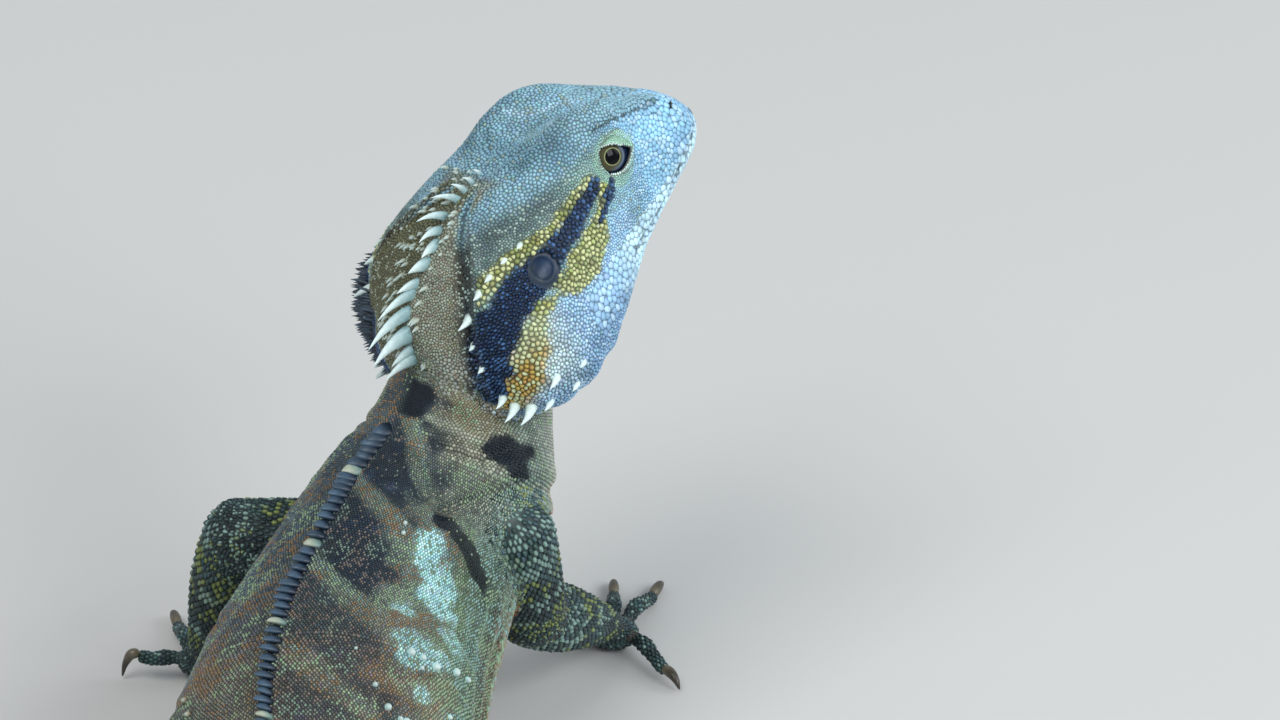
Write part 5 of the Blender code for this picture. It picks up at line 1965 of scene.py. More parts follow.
@dataclass
class TrunkBuild:
    """Neck, torso and tail: their region of the skin and their coat."""

    trunk: Trunk
    markings: TrunkMarkings
    depth: float = .45
    # Folds: places (distance along, angle in degrees), depth and width.
    folds: tuple = (
        (((38, 20), (39.6, 34), (40.8, 50), (41, 64), (38.5, 76), (36, 90)), .95, 1.4),
        (((61, 50), (53.5, 57), (49, 64), (45.5, 74), (42.9, 88), (40.5, 104)), .95, 1.5),
        (((62, 50), (66.5, 68), (71, 84), (75, 100)), .5, 1.4),
        (((20, 40), (25, 52), (29, 66), (31, 84), (30, 104)), .8, 1.2),
        (((24, 22), (30, 38), (34, 54), (36, 70)), .5, .9),
        (((84, 74), (88, 84), (91, 98)), .6, 1.2),
        (((93, 70), (98, 82), (101, 96)), .5, 1.2),
    )
    # Zones of the coat: start, end, scales round, first and last angle.
    zones: tuple = (
        ("neck", 4, 43, 150, -180, 180),
        ("back", 43, 104, 240, -112, 112),
        ("rump", 104, 166, 216, -112, 112),
        ("belly", 43, 166, 120, 112, 248),
        ("tail", 166, 220, 92, -180, 180),
        ("tail", 220, 290, 64, -180, 180),
        ("tail", 290, 380, 46, -180, 180),
        ("tail", 380, 480, 32, -180, 180),
        ("tail", 480, 590, 22, -180, 180),
        ("tail", 590, 700, 14, -180, 180),
    )

    def region(self) -> Region:
        """Skin from the neck inside the head to the tail tip, coarser towards the tip.

        Returns:
            The region.
        """
        end = self.trunk.length
        bands = [
            (np.concatenate([np.arange(4, 44, .8), np.arange(44, 168, 1.1)]), around(160)),
            (np.arange(168.5, 300, 1.6), around(80)),
            (np.arange(300, 480, 2.2), around(40)),
            (np.append(np.arange(480, end - 1, 3.0), end - .2), around(20)),
        ]
        return Region(self.trunk, self.markings, bands, self.depth)

    def grooves(self) -> list[tuple[Array, float, float]]:
        """Folds of loose skin on the right of neck and shoulder.

        Returns:
            Lines in space with their depth and width.
        """
        result = []
        for line, depth, width in self.folds:
            along, turn = np.array(line, float).T
            result.append((self.trunk.surface(along, np.radians(turn)), depth, width))
        return result

    def coats(self) -> list[Coat]:
        """Scales on staggered rows: granules on the neck, keeled ones behind it, larger on the belly.

        Returns:
            One coat for each name among the zones.
        """
        groups: dict[str, list[Batch]] = {}
        for name, start, end, count, first, last in self.zones:
            middle = (start + end) / 2
            pitch = 2 * math.pi * float(self.trunk.girth(middle)) / count
            rise = pitch * (.88 if name != "tail" else 1.05)
            if name == "belly":
                along, turn = hexagonal(start, end, count, rise)
                kept = np.abs(np.degrees(turn)) >= first
                along, turn = along[kept], turn[kept]
            else:
                along, turn = hexagonal(start, end, count, rise, (first, last))
            sizes = 2 * math.pi * self.trunk.girth(along) / count * 1.05
            kind = GRANULE if name == "neck" else KEELED
            batch = Batch(self.trunk, self.markings, along, turn, sizes, self.depth, kind)
            groups.setdefault(name, []).append(batch)
        return [Coat(f"coat_{name}", "tail_skin" if name == "tail" else "body_skin", batches, rounds=0)
                for name, batches in groups.items()]


@dataclass
class HeadBuild:
    """Head: its region of the skin, lids, eyes, ear drums, nostrils and coat."""

    head: Head
    markings: HeadMarkings
    depth: float = .32
    eye_centre: tuple = (24.3, 8.8, 9.8)
    eye_radius: float = 5.2
    lid_room: float = .44
    lid_stretch: float = 1.10
    opening: tuple = ((-1.93, 2.25), (-1.06, 2.89), (.04, 2.45), (1.81, 1.25), (3.4, .10), (4.6, -1.0),
                      (4.1, -1.7), (2.9, -2.45), (1.47, -3.2), (-.06, -3.55), (-1.41, -3.2),
                      (-2.4, -2.19), (-2.9, -.53), (-2.57, 1.27))
    nostril: tuple = (5.2, 5.6, 8.1)
    nostril_radii: tuple = (1.0, .9, 1.5)
    pupil: float = 1.55
    ring: float = .10
    iris: float = 3.3
    # Folds behind the head: places (back, half distance apart, height), depth and width.
    folds: tuple = (
        (((48, 2.9, 17.2), (54.3, 6.1, 15.7), (58.5, 9.2, 13.5), (61.7, 12.2, 10.5), (64.4, 14, 7),
          (67.1, 15, 2.1), (69.3, 15.5, -3.2), (70.8, 15.1, -10.4), (71, 14.7, -16.5)), 1.25, .8),
        (((56, 6.2, 14.6), (62, 9.6, 10.2), (66, 11.5, 5), (69.5, 12.3, -1), (71.5, 12, -7)), .6, .9),
        (((34.4, 10.8, 20.5), (37.6, 5.5, 19.3), (40.7, 2.4, 18.4), (46.3, 2.4, 17.6)), .6, 1.0),
    )

    def eye_axes(self, side: Side) -> Array:
        """Ahead, up and outward directions of an eye."""
        out = unit(self.head.left * side.value - self.head.ahead * .06 + self.head.up * .18)
        ahead = unit(self.head.ahead - out * (self.head.ahead @ out))
        return np.array([ahead, np.cross(out, ahead) * side.value * -1, out])

    def eye_place(self, side: Side) -> Array:
        """Middle of an eyeball."""
        back, apart, height = self.eye_centre
        return self.head.place(back, apart * side.value, height)

    def lid_ball(self, side: Side) -> Ball:
        """Ellipsoid that carries the lids of one eye."""
        radius = self.eye_radius + self.lid_room + self.depth
        return Ball(self.eye_place(side), self.eye_axes(side), radius, self.lid_stretch, self.opening)

    def regions(self) -> list[Region]:
        """The head, then the lids of both eyes.

        Returns:
            Regions of the skin.
        """
        head = self.head
        cap = np.cos(np.radians(np.arange(8, 90, 12)))
        along = np.concatenate([-cap * (head.cap - self.depth) * .98, np.arange(0, head.back[-1], .6),
                                head.back[-1] + cap[::-1] * (3 * head.cap - self.depth) * .98])
        u = np.linspace(0, 1, 19)[:-1]
        half = np.concatenate([u, 1 + u, 2 + 1 - (1 - u) ** 1.5, 3 + u**1.5, 4 + u, [5]])
        turn = np.concatenate([half, 10 - half[-2:0:-1]])
        result = [Region(head, self.markings, [(along, turn)], self.depth)]
        for side in Side:
            ball = self.lid_ball(side)
            rows = np.radians(np.linspace(2, 178, 90))
            result.append(Region(ball, LidMarkings(ball, self.markings), [(rows, around(128))], self.depth))
        return result

    def cutters(self) -> list[bpy.types.Object]:
        """Closed shapes that cut the eye openings, sockets and nostrils.

        Returns:
            Mesh objects, which the cut uses up.
        """
        result = []
        turn = around(144)
        for side in Side:
            axes = self.eye_axes(side)
            centre = self.eye_place(side)
            rows = np.radians(np.linspace(2, 178, 40))
            socket = Ball(centre, axes, self.eye_radius + .1)
            result.append(make_piece("socket", *loft([socket.surface(rows[:, None], around(64)[None])])))
            flat = np.stack([np.cos(turn), np.sin(turn)], -1) * self.lid_ball(side).rim(turn)[:, None]
            depths = np.linspace(self.eye_radius * .2, self.eye_radius * 1.4, 6)
            flare = 1 + .10 * (depths - self.eye_radius) / self.eye_radius
            grid = centre + (flat[None] * flare[:, None, None]) @ axes[:2] + depths[:, None, None] * axes[2]
            result.append(make_piece("opening", *loft([grid])))
            nostril = self.head.place(self.nostril[0], self.nostril[1] * side.value, self.nostril[2])
            pit = unit(np.array([math.cos(.5), math.sin(.5)]))
            flank = np.array([self.head.ahead * pit[0] + self.head.up * pit[1],
                              self.head.up * pit[0] - self.head.ahead * pit[1], self.head.left * side.value])
            ring = sphere(np.linspace(.1, math.pi - .1, 12)[:, None], around(20)[None])
            result.append(make_piece("nostril", *loft([nostril + (ring * self.nostril_radii) @ flank])))
        for cutter in result:
            mark = cutter.data.attributes.new("region", "FLOAT", "POINT")
            mark.data.foreach_set("value", np.full(len(cutter.data.vertices), Skin.cutter_number, np.float32))
        return result

    def grooves(self) -> list[tuple[Array, float, float]]:
        """Deep fold between the head's rear edge and the neck, on both sides, with a second one.

        Returns:
            Lines in space with their depth and width.
        """
        result = []
        for side in Side:
            for line, depth, width in self.folds:
                back, apart, height = np.array(line, float).T
                result.append((self.head.place(back, apart * side.value, height), depth, width))
        return result

    def zones(self, points: Array) -> tuple[Array, Array]:
        """Kind and pitch of the scales at points of the head.

        Args:
            points: One row a point.

        Returns:
            0 for plates, 1 for beads, 2 for spikes and 3 for granules, and the pitches.
        """
        back, _, height = self.head.locate(points)
        lips = self.head.lips(back)
        fine = mottle(points, 3.2, 12)
        jaw = (height < lips - .3) & (height > lips - 9) & (back < 47)
        muzzle = (back < 20) & (height > lips - .3)
        beads, spikes = self.markings.coarse(points)
        zone = np.select([spikes > .5, beads > .5, jaw | muzzle], [2, 1, 0], 3)
        granule = .56 + .20 * ease(11, 15, height) + .22 * ease(6, 2, height - lips) * ease(40, 48, back)
        muzzle_pitch = 1.15 - .35 * ease(9, 19, back) + .12 * fine
        pitch = np.select([zone == 2, zone == 1, jaw & (zone == 0), zone == 0],
                          [.78, .96, 1.30 + .15 * fine, muzzle_pitch], granule)
        near = np.hypot(back - self.eye_centre[0], height - self.eye_centre[2])
        return zone, pitch * (1 - .3 * ease(9, 5, near) * (zone == 3))

    def coats(self) -> list[Coat]:
        """Plates on snout and jaw, beads, spikes and granules, and rings of small scales on the lids.

        Returns:
            The one coat of the head.
        """
        head = self.head
        cap = head.back[-1] + 3 * head.cap * np.sin(np.linspace(0, 1.45, 40))
        rows = np.concatenate([np.arange(.3, head.back[-1], .2), cap])
        turns = np.linspace(0, 10, 161)
        along, turn = scattered(head, rows, turns, lambda points: self.zones(points)[1], SEED + 5)
        points = head.surface(along, turn)
        back, side, height = head.locate(points)
        zone, pitch = self.zones(points)
        away = head.from_ear(back, height)
        shut = np.abs(height - head.mouth(back)) > .34 * ease(head.mouth_corner, head.mouth_corner - 2, back)
        wanted = (away > .93) & (shut | ((np.abs(side) < 8) & (back > 10)))
        wanted &= np.hypot(back - self.nostril[0], height - self.nostril[2]) > 1.15
        for ball in map(self.lid_ball, Side):
            offset = (points - ball.centre) @ ball.axes.T / (ball.stretch, 1, 1)
            wanted &= np.linalg.norm(offset, axis=1) > ball.radius
        batches = []
        for number, kind in enumerate((PLATE, DOME, SPIKY, GRANULE)):
            own = wanted & (zone == number)
            batches.append(Batch(head, self.markings, along[own], turn[own], pitch[own], self.depth, kind,
                                 step=(.5, .06), stray=2.0, jitter=0))
        for side in Side:
            batches += self.lids(side)
        return [Coat("coat_head", "head_skin", batches, rounds=4)]

    def lids(self, side: Side) -> list[Batch]:
        """Rings of scales round one eye opening: a row of beads on the margin, then finer ones.

        Args:
            side: Which eye.

        Returns:
            One batch for each ring.
        """
        ball = self.lid_ball(side)
        markings = LidMarkings(ball, self.markings)
        result = []
        beyond = .2
        while beyond < 5:
            pitch = .44 if not result else .34 + .06 * beyond
            count = int(2 * math.pi * min(3.1 + beyond, ball.radius) / pitch)
            turn = (np.arange(count) + .5 * (len(result) % 2)) * 2 * math.pi / count
            pitches = np.full(count, pitch)
            along = np.arcsin(np.clip(ball.rim(turn) / ball.radius, 0, .98)) + beyond / ball.radius
            kept = along < 1.35
            result.append(Batch(ball, markings, along[kept], turn[kept], pitches[kept], self.depth,
                                LID if result else DOME, step=(.06, .06), stray=.6, jitter=.02))
            beyond += pitch * .9
        return result

    def eyes(self) -> None:
        """Eyeballs: a sphere with a slight bulge in front, painted by the angle from its axis."""
        for side in Side:
            axes = self.eye_axes(side)
            rows = np.radians(np.concatenate([np.linspace(.5, 50, 90), np.linspace(52, 179, 30)]))
            turn = around(96)
            grid = sphere(rows[:, None], turn[None])
            radius = self.eye_radius * (1 - .008 * ease(.2, .9, rows))[:, None, None]
            points, quads, triangles = loft([self.eye_place(side) + (grid * radius) @ axes])
            eye = make_piece(f"eyeball_{side.word}", points, quads, triangles)
            offset = unit(points - self.eye_place(side))
            away = np.arccos(np.clip(offset @ axes[2], -1, 1)) * self.eye_radius
            spokes = np.arctan2(offset @ axes[1], offset @ axes[0])
            streaks = .5 + .5 * np.sin(spokes * 31 + 3 * np.sin(away * 3))
            colour = blend(PALETTE.iris, PALETTE.iris_spoke, streaks)
            front = ease(-.3, .8, np.cos(spokes + .5))
            colour = blend(colour, PALETTE.iris_blue, .7 * front * hump(away, self.pupil + 1.1, .45))
            colour = blend(colour, PALETTE.eye_rim, ease(self.iris - .6, self.iris - .1, away))
            colour = blend(colour, PALETTE.iris_ring, .9 * hump(away, self.pupil + self.ring, self.ring))
            colour = blend(colour, PALETTE.pupil, ease(self.pupil + .10, self.pupil - .05, away))
            paint(eye, colour)
            dress(eye, EYE_FINISH)
            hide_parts(f"eye_{side.word}")

    def drums(self) -> None:
        """Ear drums: a dish on the floor of each ear cup, with a low swelling ahead of its middle, painted
        with shade towards the rim and a highlight on the swelling.
        """
        head = self.head
        for side in Side:
            radius = np.linspace(.04, 1.08, 26)[:, None]
            turn = around(60)[None]
            across = head.ear[0] + head.ear_size[0] * radius * np.cos(turn)
            upward = head.ear[1] + head.ear_size[1] * radius * np.sin(turn)
            wall = head.wall(across.ravel(), upward.ravel()).reshape(across.shape)
            wall = wall * head.puff(across, side is Side.LEFT)
            bulge = np.hypot(radius * np.cos(turn) + .22, radius * np.sin(turn) - .12)
            dish = wall - head.ear_depth - .08 + .45 * hump(bulge, 0, .5) - .25 * hump(radius, .62, .16)
            front = head.place(across, dish * side.value, upward)
            rear = head.place(across, (dish - .8) * side.value, upward)
            points, quads, triangles = loft([np.concatenate([front, rear[::-1]])])
            drum = make_piece(f"ear_drum_{side.word}", points, quads, triangles)
            shade = np.concatenate([bulge, bulge[::-1]]).ravel()
            shade = np.concatenate([shade, [0, 0]])
            # Darker away from the swelling: painted shade in the ear cup; slate on the swelling: painted
            # highlight.
            colour = blend(np.array(PALETTE.black) * 2, PALETTE.drum, ease(.95, .35, shade))
            paint(drum, blend(colour, PALETTE.slate, .2 * ease(.4, .05, shade)))
            dress(drum, DRUM_FINISH)


@dataclass
class Paw:
    """Hand or foot: a flat palm and five digits with hooked claws."""

    side: Side
    name: str
    joint: tuple
    wrist: float
    heading: float
    reach: float
    width: float
    digits: tuple
    radii: tuple
    depth: float = .2
    palm_places: tuple = (-.35, 0, .3, .65, .95, 1.15)
    palm_widths: tuple = (.8, 1, .86, 1, .9, .5)
    palm_flatness: float = .62
    digit_places: tuple = (0, .2, .42, .66, .88, 1.0)
    arch: float = 4.6
    claw_length: float = 5.6
    claw_radius: float = 1.05
    claw_turns: tuple = (-7.44, 15.5, 40.3, 62)
    claw_widths: tuple = (.85, 1, .68, .16)

    def palm(self) -> Tube:
        """Palm as a flat tube from behind the wrist to the knuckles.

        Returns:
            The tube.
        """
        turn = math.radians(self.heading)
        way = np.array([math.cos(turn), math.sin(turn), 0])
        joint = np.array(self.joint, float)
        places = np.array(self.palm_places)
        path = joint * (1, 1, 0) + np.outer(places * self.reach, way)
        knots = [places[0], 0, .65, places[-1]]
        path[:, 2] = np.interp(places, knots, [joint[2] + .6, joint[2] - .6, 3.4, 2.3])
        wide = np.full(len(places), self.width, float)
        wide[:2] = self.wrist * .93
        return Tube(path, wide * self.palm_widths, self.palm_flatness)

    def paths(self) -> list[tuple[Tube, Tube]]:
        """Each digit and its claw, arched from the knuckle to the pad.

        Returns:
            Tubes of digit and claw, inner digit first.
        """
        turn = math.radians(self.heading)
        way = np.array([math.cos(turn), math.sin(turn), 0])
        across = np.array([-math.sin(turn), math.cos(turn), 0]) * self.side.value
        places = np.array(self.digit_places)
        result = []
        for index, (heading, length, lift) in enumerate(self.digits):
            ahead = np.array([math.cos(math.radians(heading)), math.sin(math.radians(heading)), 0])
            leave = .45 if index in (0, 4) else .82
            root = np.array(self.joint, float) * (1, 1, 0) + way * self.reach * leave
            root = root + across * (index / 2 - 1) * self.width * .72
            root[2] = 2.85 + lift * .5
            pad = self.radii[1] - .25 + lift
            arch = self.arch * min(1, length / 15 + .25)
            bends = np.array([root[2], max(arch, pad), arch * .55 + pad * .5, pad])
            heights = spline(places, (0, .3, .62, 1), bends)
            path = root * (1, 1, 0) + np.outer(places * length, ahead) + np.outer(heights, (0, 0, 1))
            sizes = np.interp(places, [0, 1], self.radii) * (1 + .1 * np.cos(places * 4 * math.pi))
            sizes[-1] *= .86
            turns = np.radians(self.claw_turns)
            size = self.claw_length * (1 if length > 9 else .85)
            reach = size * np.sin(turns) / math.sin(turns[-1])
            drop = (pad + .35) * (1 - np.cos(turns)) / (1 - math.cos(turns[-1]))
            hook = path[-1] + np.outer(reach / (1 + .12 * lift), ahead)
            hook[:, 2] = pad + .5 + .6 * np.sin(np.clip(turns, 0, None) * 2) - drop
            claw = Tube(hook, self.claw_radius * np.array(self.claw_widths))
            result.append((Tube(path, sizes), claw))
        return result

    def regions(self) -> list[Region]:
        """Palm and digits as regions of the skin.

        Returns:
            The palm, then the digits.
        """
        palm = self.palm()
        markings = ToeMarkings(np.array(self.joint, float))
        result = [Region(palm, markings, [(np.linspace(.15, palm.span[1] - .1, 26), around(40))], self.depth)]
        for digit, _ in self.paths():
            end = digit.span[1]
            rows = np.concatenate([np.arange(.1, end - 1.4, .8), end - np.array([1.2, .8, .4, .1])])
            result.append(Region(digit, ToeMarkings(digit.path[0]), [(rows, around(16))], self.depth))
        return result

    def batches(self) -> list[Batch]:
        """Scales of the palm, and rings of broad scales along each digit.

        Returns:
            One batch for each tube.
        """
        palm = self.palm()
        result = []
        for tube, markings, pitch in [(palm, ToeMarkings(np.array(self.joint, float)), 1.0)] + [
                (digit, ToeMarkings(digit.path[0]), .95) for digit, _ in self.paths()]:
            girth = float(np.mean(tube.radii)) * 2 * math.pi
            along, turn = hexagonal(.3, tube.span[1] - .3, max(int(girth / pitch), 6), pitch * .9)
            sizes = np.full(len(along), pitch * 1.1)
            result.append(Batch(tube, markings, along, turn, sizes, self.depth, step=(.4, .3), stray=.6))
        return result

    def claws(self) -> None:
        """Claws of this paw as one piece, paler at the root."""
        points, quads, triangles, colours = [], [], [], []
        total = 0
        for _, claw in self.paths():
            rows = np.linspace(.05, claw.span[1] - .05, 22)
            grid = claw.surface(rows[:, None], around(14)[None])
            own, four, three = loft([grid])
            points.append(own)
            quads.append(four + total)
            triangles.append(three + total)
            part = np.append(np.repeat(rows / claw.span[1], 14), [0, 1])
            colours.append(blend(PALETTE.horn_root, PALETTE.horn, ease(.1, .6, part)))
            total += len(own)
        name = f"claws_{self.name}_{self.side.word}"
        piece = make_piece(name, *map(np.concatenate, (points, quads, triangles)))
        paint(piece, np.concatenate(colours))
        dress(piece, HORN_FINISH)


@dataclass
class Leg:
    """Arm or hind leg of one side: two segments and a paw."""

    side: Side
    names: tuple
    joints: tuple
    radii: tuple
    paw: Paw
    depth: float = .4
    pitch: float = 1.3

    def segments(self) -> list[Limb]:
        """The two segments, from the trunk outwards."""
        return [Limb(*self.joints[part:part + 2], self.radii[part]) for part in range(2)]

    def regions(self) -> list[Region]:
        """Both segments and the paw as regions of the skin.

        Returns:
            The segments, then the paw's regions.
        """
        result = []
        for limb in self.segments():
            low, high = limb.span
            rows = np.linspace(low + .15 + self.depth, high - .15 - self.depth, int((high - low) / 1.15))
            result.append(Region(limb, LimbMarkings(limb), [(rows, around(44))], self.depth))
        return result + self.paw.regions()

    def coat(self) -> Coat:
        """Keeled scales of both segments and the paw, scattered on the ball end nearest the trunk.

        Returns:
            One coat for the whole leg.
        """
        batches = []
        for limb in self.segments():
            low, high = limb.span
            girth = 2 * math.pi * float(np.mean(limb.radii))
            along, turn = hexagonal(low + .6, high - .6, int(girth / self.pitch), self.pitch * .9)
            kept = limb.radius(along) > .8 * min(limb.radii)
            along, turn = along[kept], turn[kept]
            cap = np.arange(low + .05, along.min() - .3, .25)
            if len(cap) > 1:
                more = scattered(limb, cap, np.linspace(0, 2 * math.pi, 33),
                                 lambda points: np.full(len(points), self.pitch), SEED + 7)
                along, turn = np.append(along, more[0]), np.append(turn, more[1])
            sizes = np.clip(2 * math.pi * limb.radius(along) / int(girth / self.pitch), .6, 1.35) * 1.08
            batches.append(Batch(limb, LimbMarkings(limb), along, turn, sizes, self.depth,
                                 step=(.5, .08), stray=3.5))
        return Coat(f"coat_{self.names[0]}_{self.side.word}", "limb_skin", batches + self.paw.batches())

    def nodes(self) -> list[str]:
        """Names of the solids that this leg's skin stands for."""
        return [f"{name}_{self.side.word}" for name in self.names]


@dataclass
class Crest:
    """Spines of nape and jowls, and the row of lobes along back and tail."""

    trunk: Trunk
    head: Head
    nape_line: tuple = ((44, -.6, 18), (50, -1.2, 17.2), (56, -2.2, 15.8), (62, -5.2, 12.8), (68, -4.6, 9.2),
                        (71.5, -3.8, 4.5), (73, -3.3, -1), (75, -2.2, -6))
    # Nape spines from the crown down, in two clusters: distance along the line as a part of its
    # length, length, half length of the base, and how far it leans along the line.
    nape_spines: tuple = (
        (.03, 2.0, .6, .1), (.08, 2.8, .65, .1), (.13, 3.8, .75, .1), (.19, 6.4, .85, .35),
        (.28, 7.6, .95, .45), (.356, 7.2, 1.0, .6), (.434, 4.2, 1.3, .8), (.53, 3.8, 1.5, .6),
        (.626, 4.2, 1.2, .4), (.67, 8.2, 1.25, .6), (.76, 9.8, 1.5, .55), (.85, 8.8, 1.9, .45),
        (.93, 5.0, 1.3, .4), (.98, 6.8, 1.5, .3),
    )
    small_spines: int = 90
    nape_end: float = 18
    nape_flatness: float = .55
    # Jowl spines: distance back, height and length.
    jowl: tuple = (
        (52, 9.6, .9), (56, 9.0, 1.2), (60, 7.6, 1.6), (63.2, 5.9, 1.9), (67.2, 2.3, 3.6), (69.0, -2.5, 1.6),
        (69.4, -7, 1.5), (68.6, -14, 3.0), (67.4, -16.5, 4.4), (65.5, -17.6, 4.6), (60.5, -13.5, 2.6),
        (62.5, -18.4, 2.4), (57, -17.5, 1.6), (54, -14.5, 1.2),
    )
    # Lobes of back and tail: distance apart, height, half thickness and half width, and which are cream.
    pitch: float = 2.3
    height: float = 2.9
    base: tuple = (.80, 1.75)
    cream_every: float = 24.0
    cream_first: float = 77.5
    tail_height: float = 1.75
    tail_base: tuple = (1.9, .9)
    # Large tubercles: distance along, angle in degrees, half length.
    knobs: tuple = (
        (103.7, 55, .95), (103.4, 61, .75), (103.7, 68, 1.0), (100.5, 80, .9), (98, 89, .7), (121, 55, .9),
        (69.3, 36, .5), (71.7, 37, .5), (107, 31, .4), (115, 40, .6), (119.5, 46, .8), (121, 52, .6),
        (106, 61, .5), (112, 80, .6), (90, -66, .7), (94, -70, .8),
        (98, -73, .8), (103, -70, .7), (108, -68, .9), (113, -64, .7), (118, -60, .8), (112, -40, .7),
        (118, -34, .7), (124, -44, .6), (128, 48, .7), (131, 56, .8), (134, 64, .7), (126, -58, .7),
        (132, -62, .8),
    )

    def stand(self, along: Array, places: Array, share: Array) -> tuple[Array, Array, Array]:
        """Places on the line of the nape, with the directions along it and out of the skin.

        Args:
            along: Distances of the line's corners.
            places: The corners.
            share: Distances wanted, as parts of the line's length.

        Returns:
            Places, directions along and directions out, one row each.
        """
        steps = share * along[-1]
        lies = unit(spline(steps + 1, along, places) - spline(steps - 1, along, places))
        _, _, neck_up, _, _ = self.trunk.frame_at(np.array([self.nape_end]))
        ups = unit(self.head.up * (1 - share[:, None]) + neck_up[0] * share[:, None])
        return spline(steps, along, places), lies, ups

    def nape(self, skin: bpy.types.Object) -> None:
        """Nuchal spines along the line from the crown to the shoulders, with small ones beside them.

        Args:
            skin: The skin that they stand on.
        """
        places = self.head.place(*np.array(self.nape_line).T)
        along = np.concatenate([[0], np.cumsum(np.linalg.norm(np.diff(places, axis=0), axis=1))])
        table = np.array(self.nape_spines)
        guides, lies, ups = self.stand(along, places, table[:, 0])
        roots = snapped(guides + ups * 1.5, skin)
        spikes = Spikes(SpikeKind(rings=12, sides=20, fullness=1.3, sharpness=.85, bend=.40, ridges=.045))
        # Spines darken from tip to root: painted shade at their base.
        for index, (_, length, half, droop) in enumerate(table):
            spikes.add(roots[index], ups[index] + lies[index] * droop, lies[index], length,
                       half, half * self.nape_flatness, PALETTE.spine_root, PALETTE.spine_tip)
        dice = np.random.default_rng(SEED + 4)
        count = self.small_spines
        share = np.sort(dice.uniform(0, along[-1], count)) / along[-1]
        guides, lies, ups = self.stand(along, places, share)
        sideways = dice.choice([1, -1, -1, -1], count) * dice.uniform(1.2, 3.2, count)
        apart = np.cross(ups, lies) * sideways[:, None]
        apart = apart * np.where((apart @ self.head.left) > 0, dice.uniform(1, 4, count), 1)[:, None]
        roots = snapped(guides + apart + ups * 1.5, skin)
        for index, length in enumerate(dice.uniform(.6, 1.9, count)):
            spikes.add(roots[index], ups[index] + lies[index] * .5, lies[index], length, .35 + .1 * length,
                       .3 + .08 * length, PALETTE.neck_pale, PALETTE.jowl_cream)
        spikes.build("nape_crest", "crest")

    def jowls(self, skin: bpy.types.Object) -> None:
        """Spines behind the ears and on the rear of both jowls.

        Args:
            skin: The skin that they stand on.
        """
        dice = np.random.default_rng(SEED + 1)
        spikes = Spikes(SpikeKind(rings=8, sides=12, fullness=1.4, sharpness=.8, bend=.45))
        for side in Side:
            for back, height, length in self.jowl:
                half = self.head.outline(np.full(161, float(back)), np.linspace(.6, 4.6, 161))
                level = np.argmin(np.abs(half[:, 1] - height))
                apart = half[level, 0] * self.head.puff(back, side is Side.LEFT) * side.value
                guide = self.head.place(back, apart, height)
                root = snapped(guide[None], skin)[0]
                droop = -.45 if height < -10 else dice.uniform(-.1, .1)
                lean = self.head.left * side.value * .75 - self.head.ahead * .8 + self.head.up * droop
                half = .5 + .13 * length
                spikes.add(root, lean, -self.head.ahead, length, half, half * .85,
                           PALETTE.cream, PALETTE.spine_tip)
        spikes.build("jowl_spines", "crest")

    def fringe(self) -> None:
        """Black spikes on the rear of the left jowl, which the photo shows against the background."""
        dice = np.random.default_rng(SEED + 6)
        along, turn = scattered(self.head, np.linspace(58, 71, 40), np.linspace(1.7, 4.2, 40),
                                lambda points: np.full(len(points), 1.15), SEED + 6)
        root = self.head.surface(along, turn, -.3)
        out = unit(self.head.surface(along, turn, 1) - root)
        spikes = Spikes(SpikeKind(rings=5, sides=7, fullness=1.3, sharpness=.9, bend=.3, sink=.5, ridges=0))
        _, _, height = self.head.locate(root)
        kept = np.flatnonzero((height < 2) & (height > -17) & (out @ -self.head.ahead > -.2))
        for index in kept:
            length = dice.uniform(1.6, 3.4)
            tip = np.array(PALETTE.scute) * dice.uniform(.3, 1.1)
            spikes.add(root[index], out[index] - self.head.ahead * .3, -self.head.ahead, length, .55, .5,
                       PALETTE.black, tip)
        spikes.build("jowl_fringe", "crest")

    def lobes(self) -> None:
        """Rounded thin lobes along the back, each turned partly across it and leaning to tail and left."""
        dice = np.random.default_rng(SEED + 2)
        places = np.arange(self.trunk.knots[3] - 2.4, 160, self.pitch)
        spikes = Spikes(SpikeKind(rings=8, sides=14, sharpness=.75, bend=.3, ridges=0, keep=.7))
        self.row(spikes, places, self.height, self.base, dice)
        spikes.build("back_crest", "crest")

    def tail_lobes(self) -> None:
        """Lower lobes along the tail that fade towards its tip."""
        dice = np.random.default_rng(SEED + 3)
        places = [161.5]
        while places[-1] < 560:
            places.append(places[-1] + 3.2 + .0045 * (places[-1] - 160))
        places = np.array(places)
        fade = 1 - (places - 160) / 460
        spikes = Spikes(SpikeKind(rings=6, sides=10, fullness=1.8, sharpness=.75, bend=.5, sink=.8,
                                  ridges=0, keep=.5))
        self.row(spikes, places, self.tail_height * fade + .3, self.tail_base, dice, fade * .8 + .3)
        spikes.build("tail_crest", "crest")

    def tubercles(self, skin: bpy.types.Object) -> None:
        """Large pale tubercles on shoulder and flanks, as low domes.

        Args:
            skin: The skin that they stand on.
        """
        spikes = Spikes(SpikeKind(rings=6, sides=10, fullness=2.2, sharpness=.55, bend=.25, sink=.5,
                                  ridges=0))
        table = np.array(self.knobs, float)
        along, turn, size = table[:, 0], np.radians(table[:, 1]), table[:, 2]
        roots = snapped(self.trunk.surface(along, turn, -.4), skin)
        outs = unit(self.trunk.surface(along, turn, 1) - self.trunk.surface(along, turn))
        lies = unit(self.trunk.surface(along + 1, turn) - self.trunk.surface(along - 1, turn))
        for index, half in enumerate(size):
            warm = turn[index] < 0
            base = PALETTE.rust if warm else PALETTE.pale
            tip = PALETTE.neck_pale if warm else PALETTE.jowl_cream
            spikes.add(roots[index], outs[index] + lies[index] * .3, lies[index], half * 1.1 + .3,
                       half, half * .85, base, tip)
        spikes.build("tubercles", "body_skin")

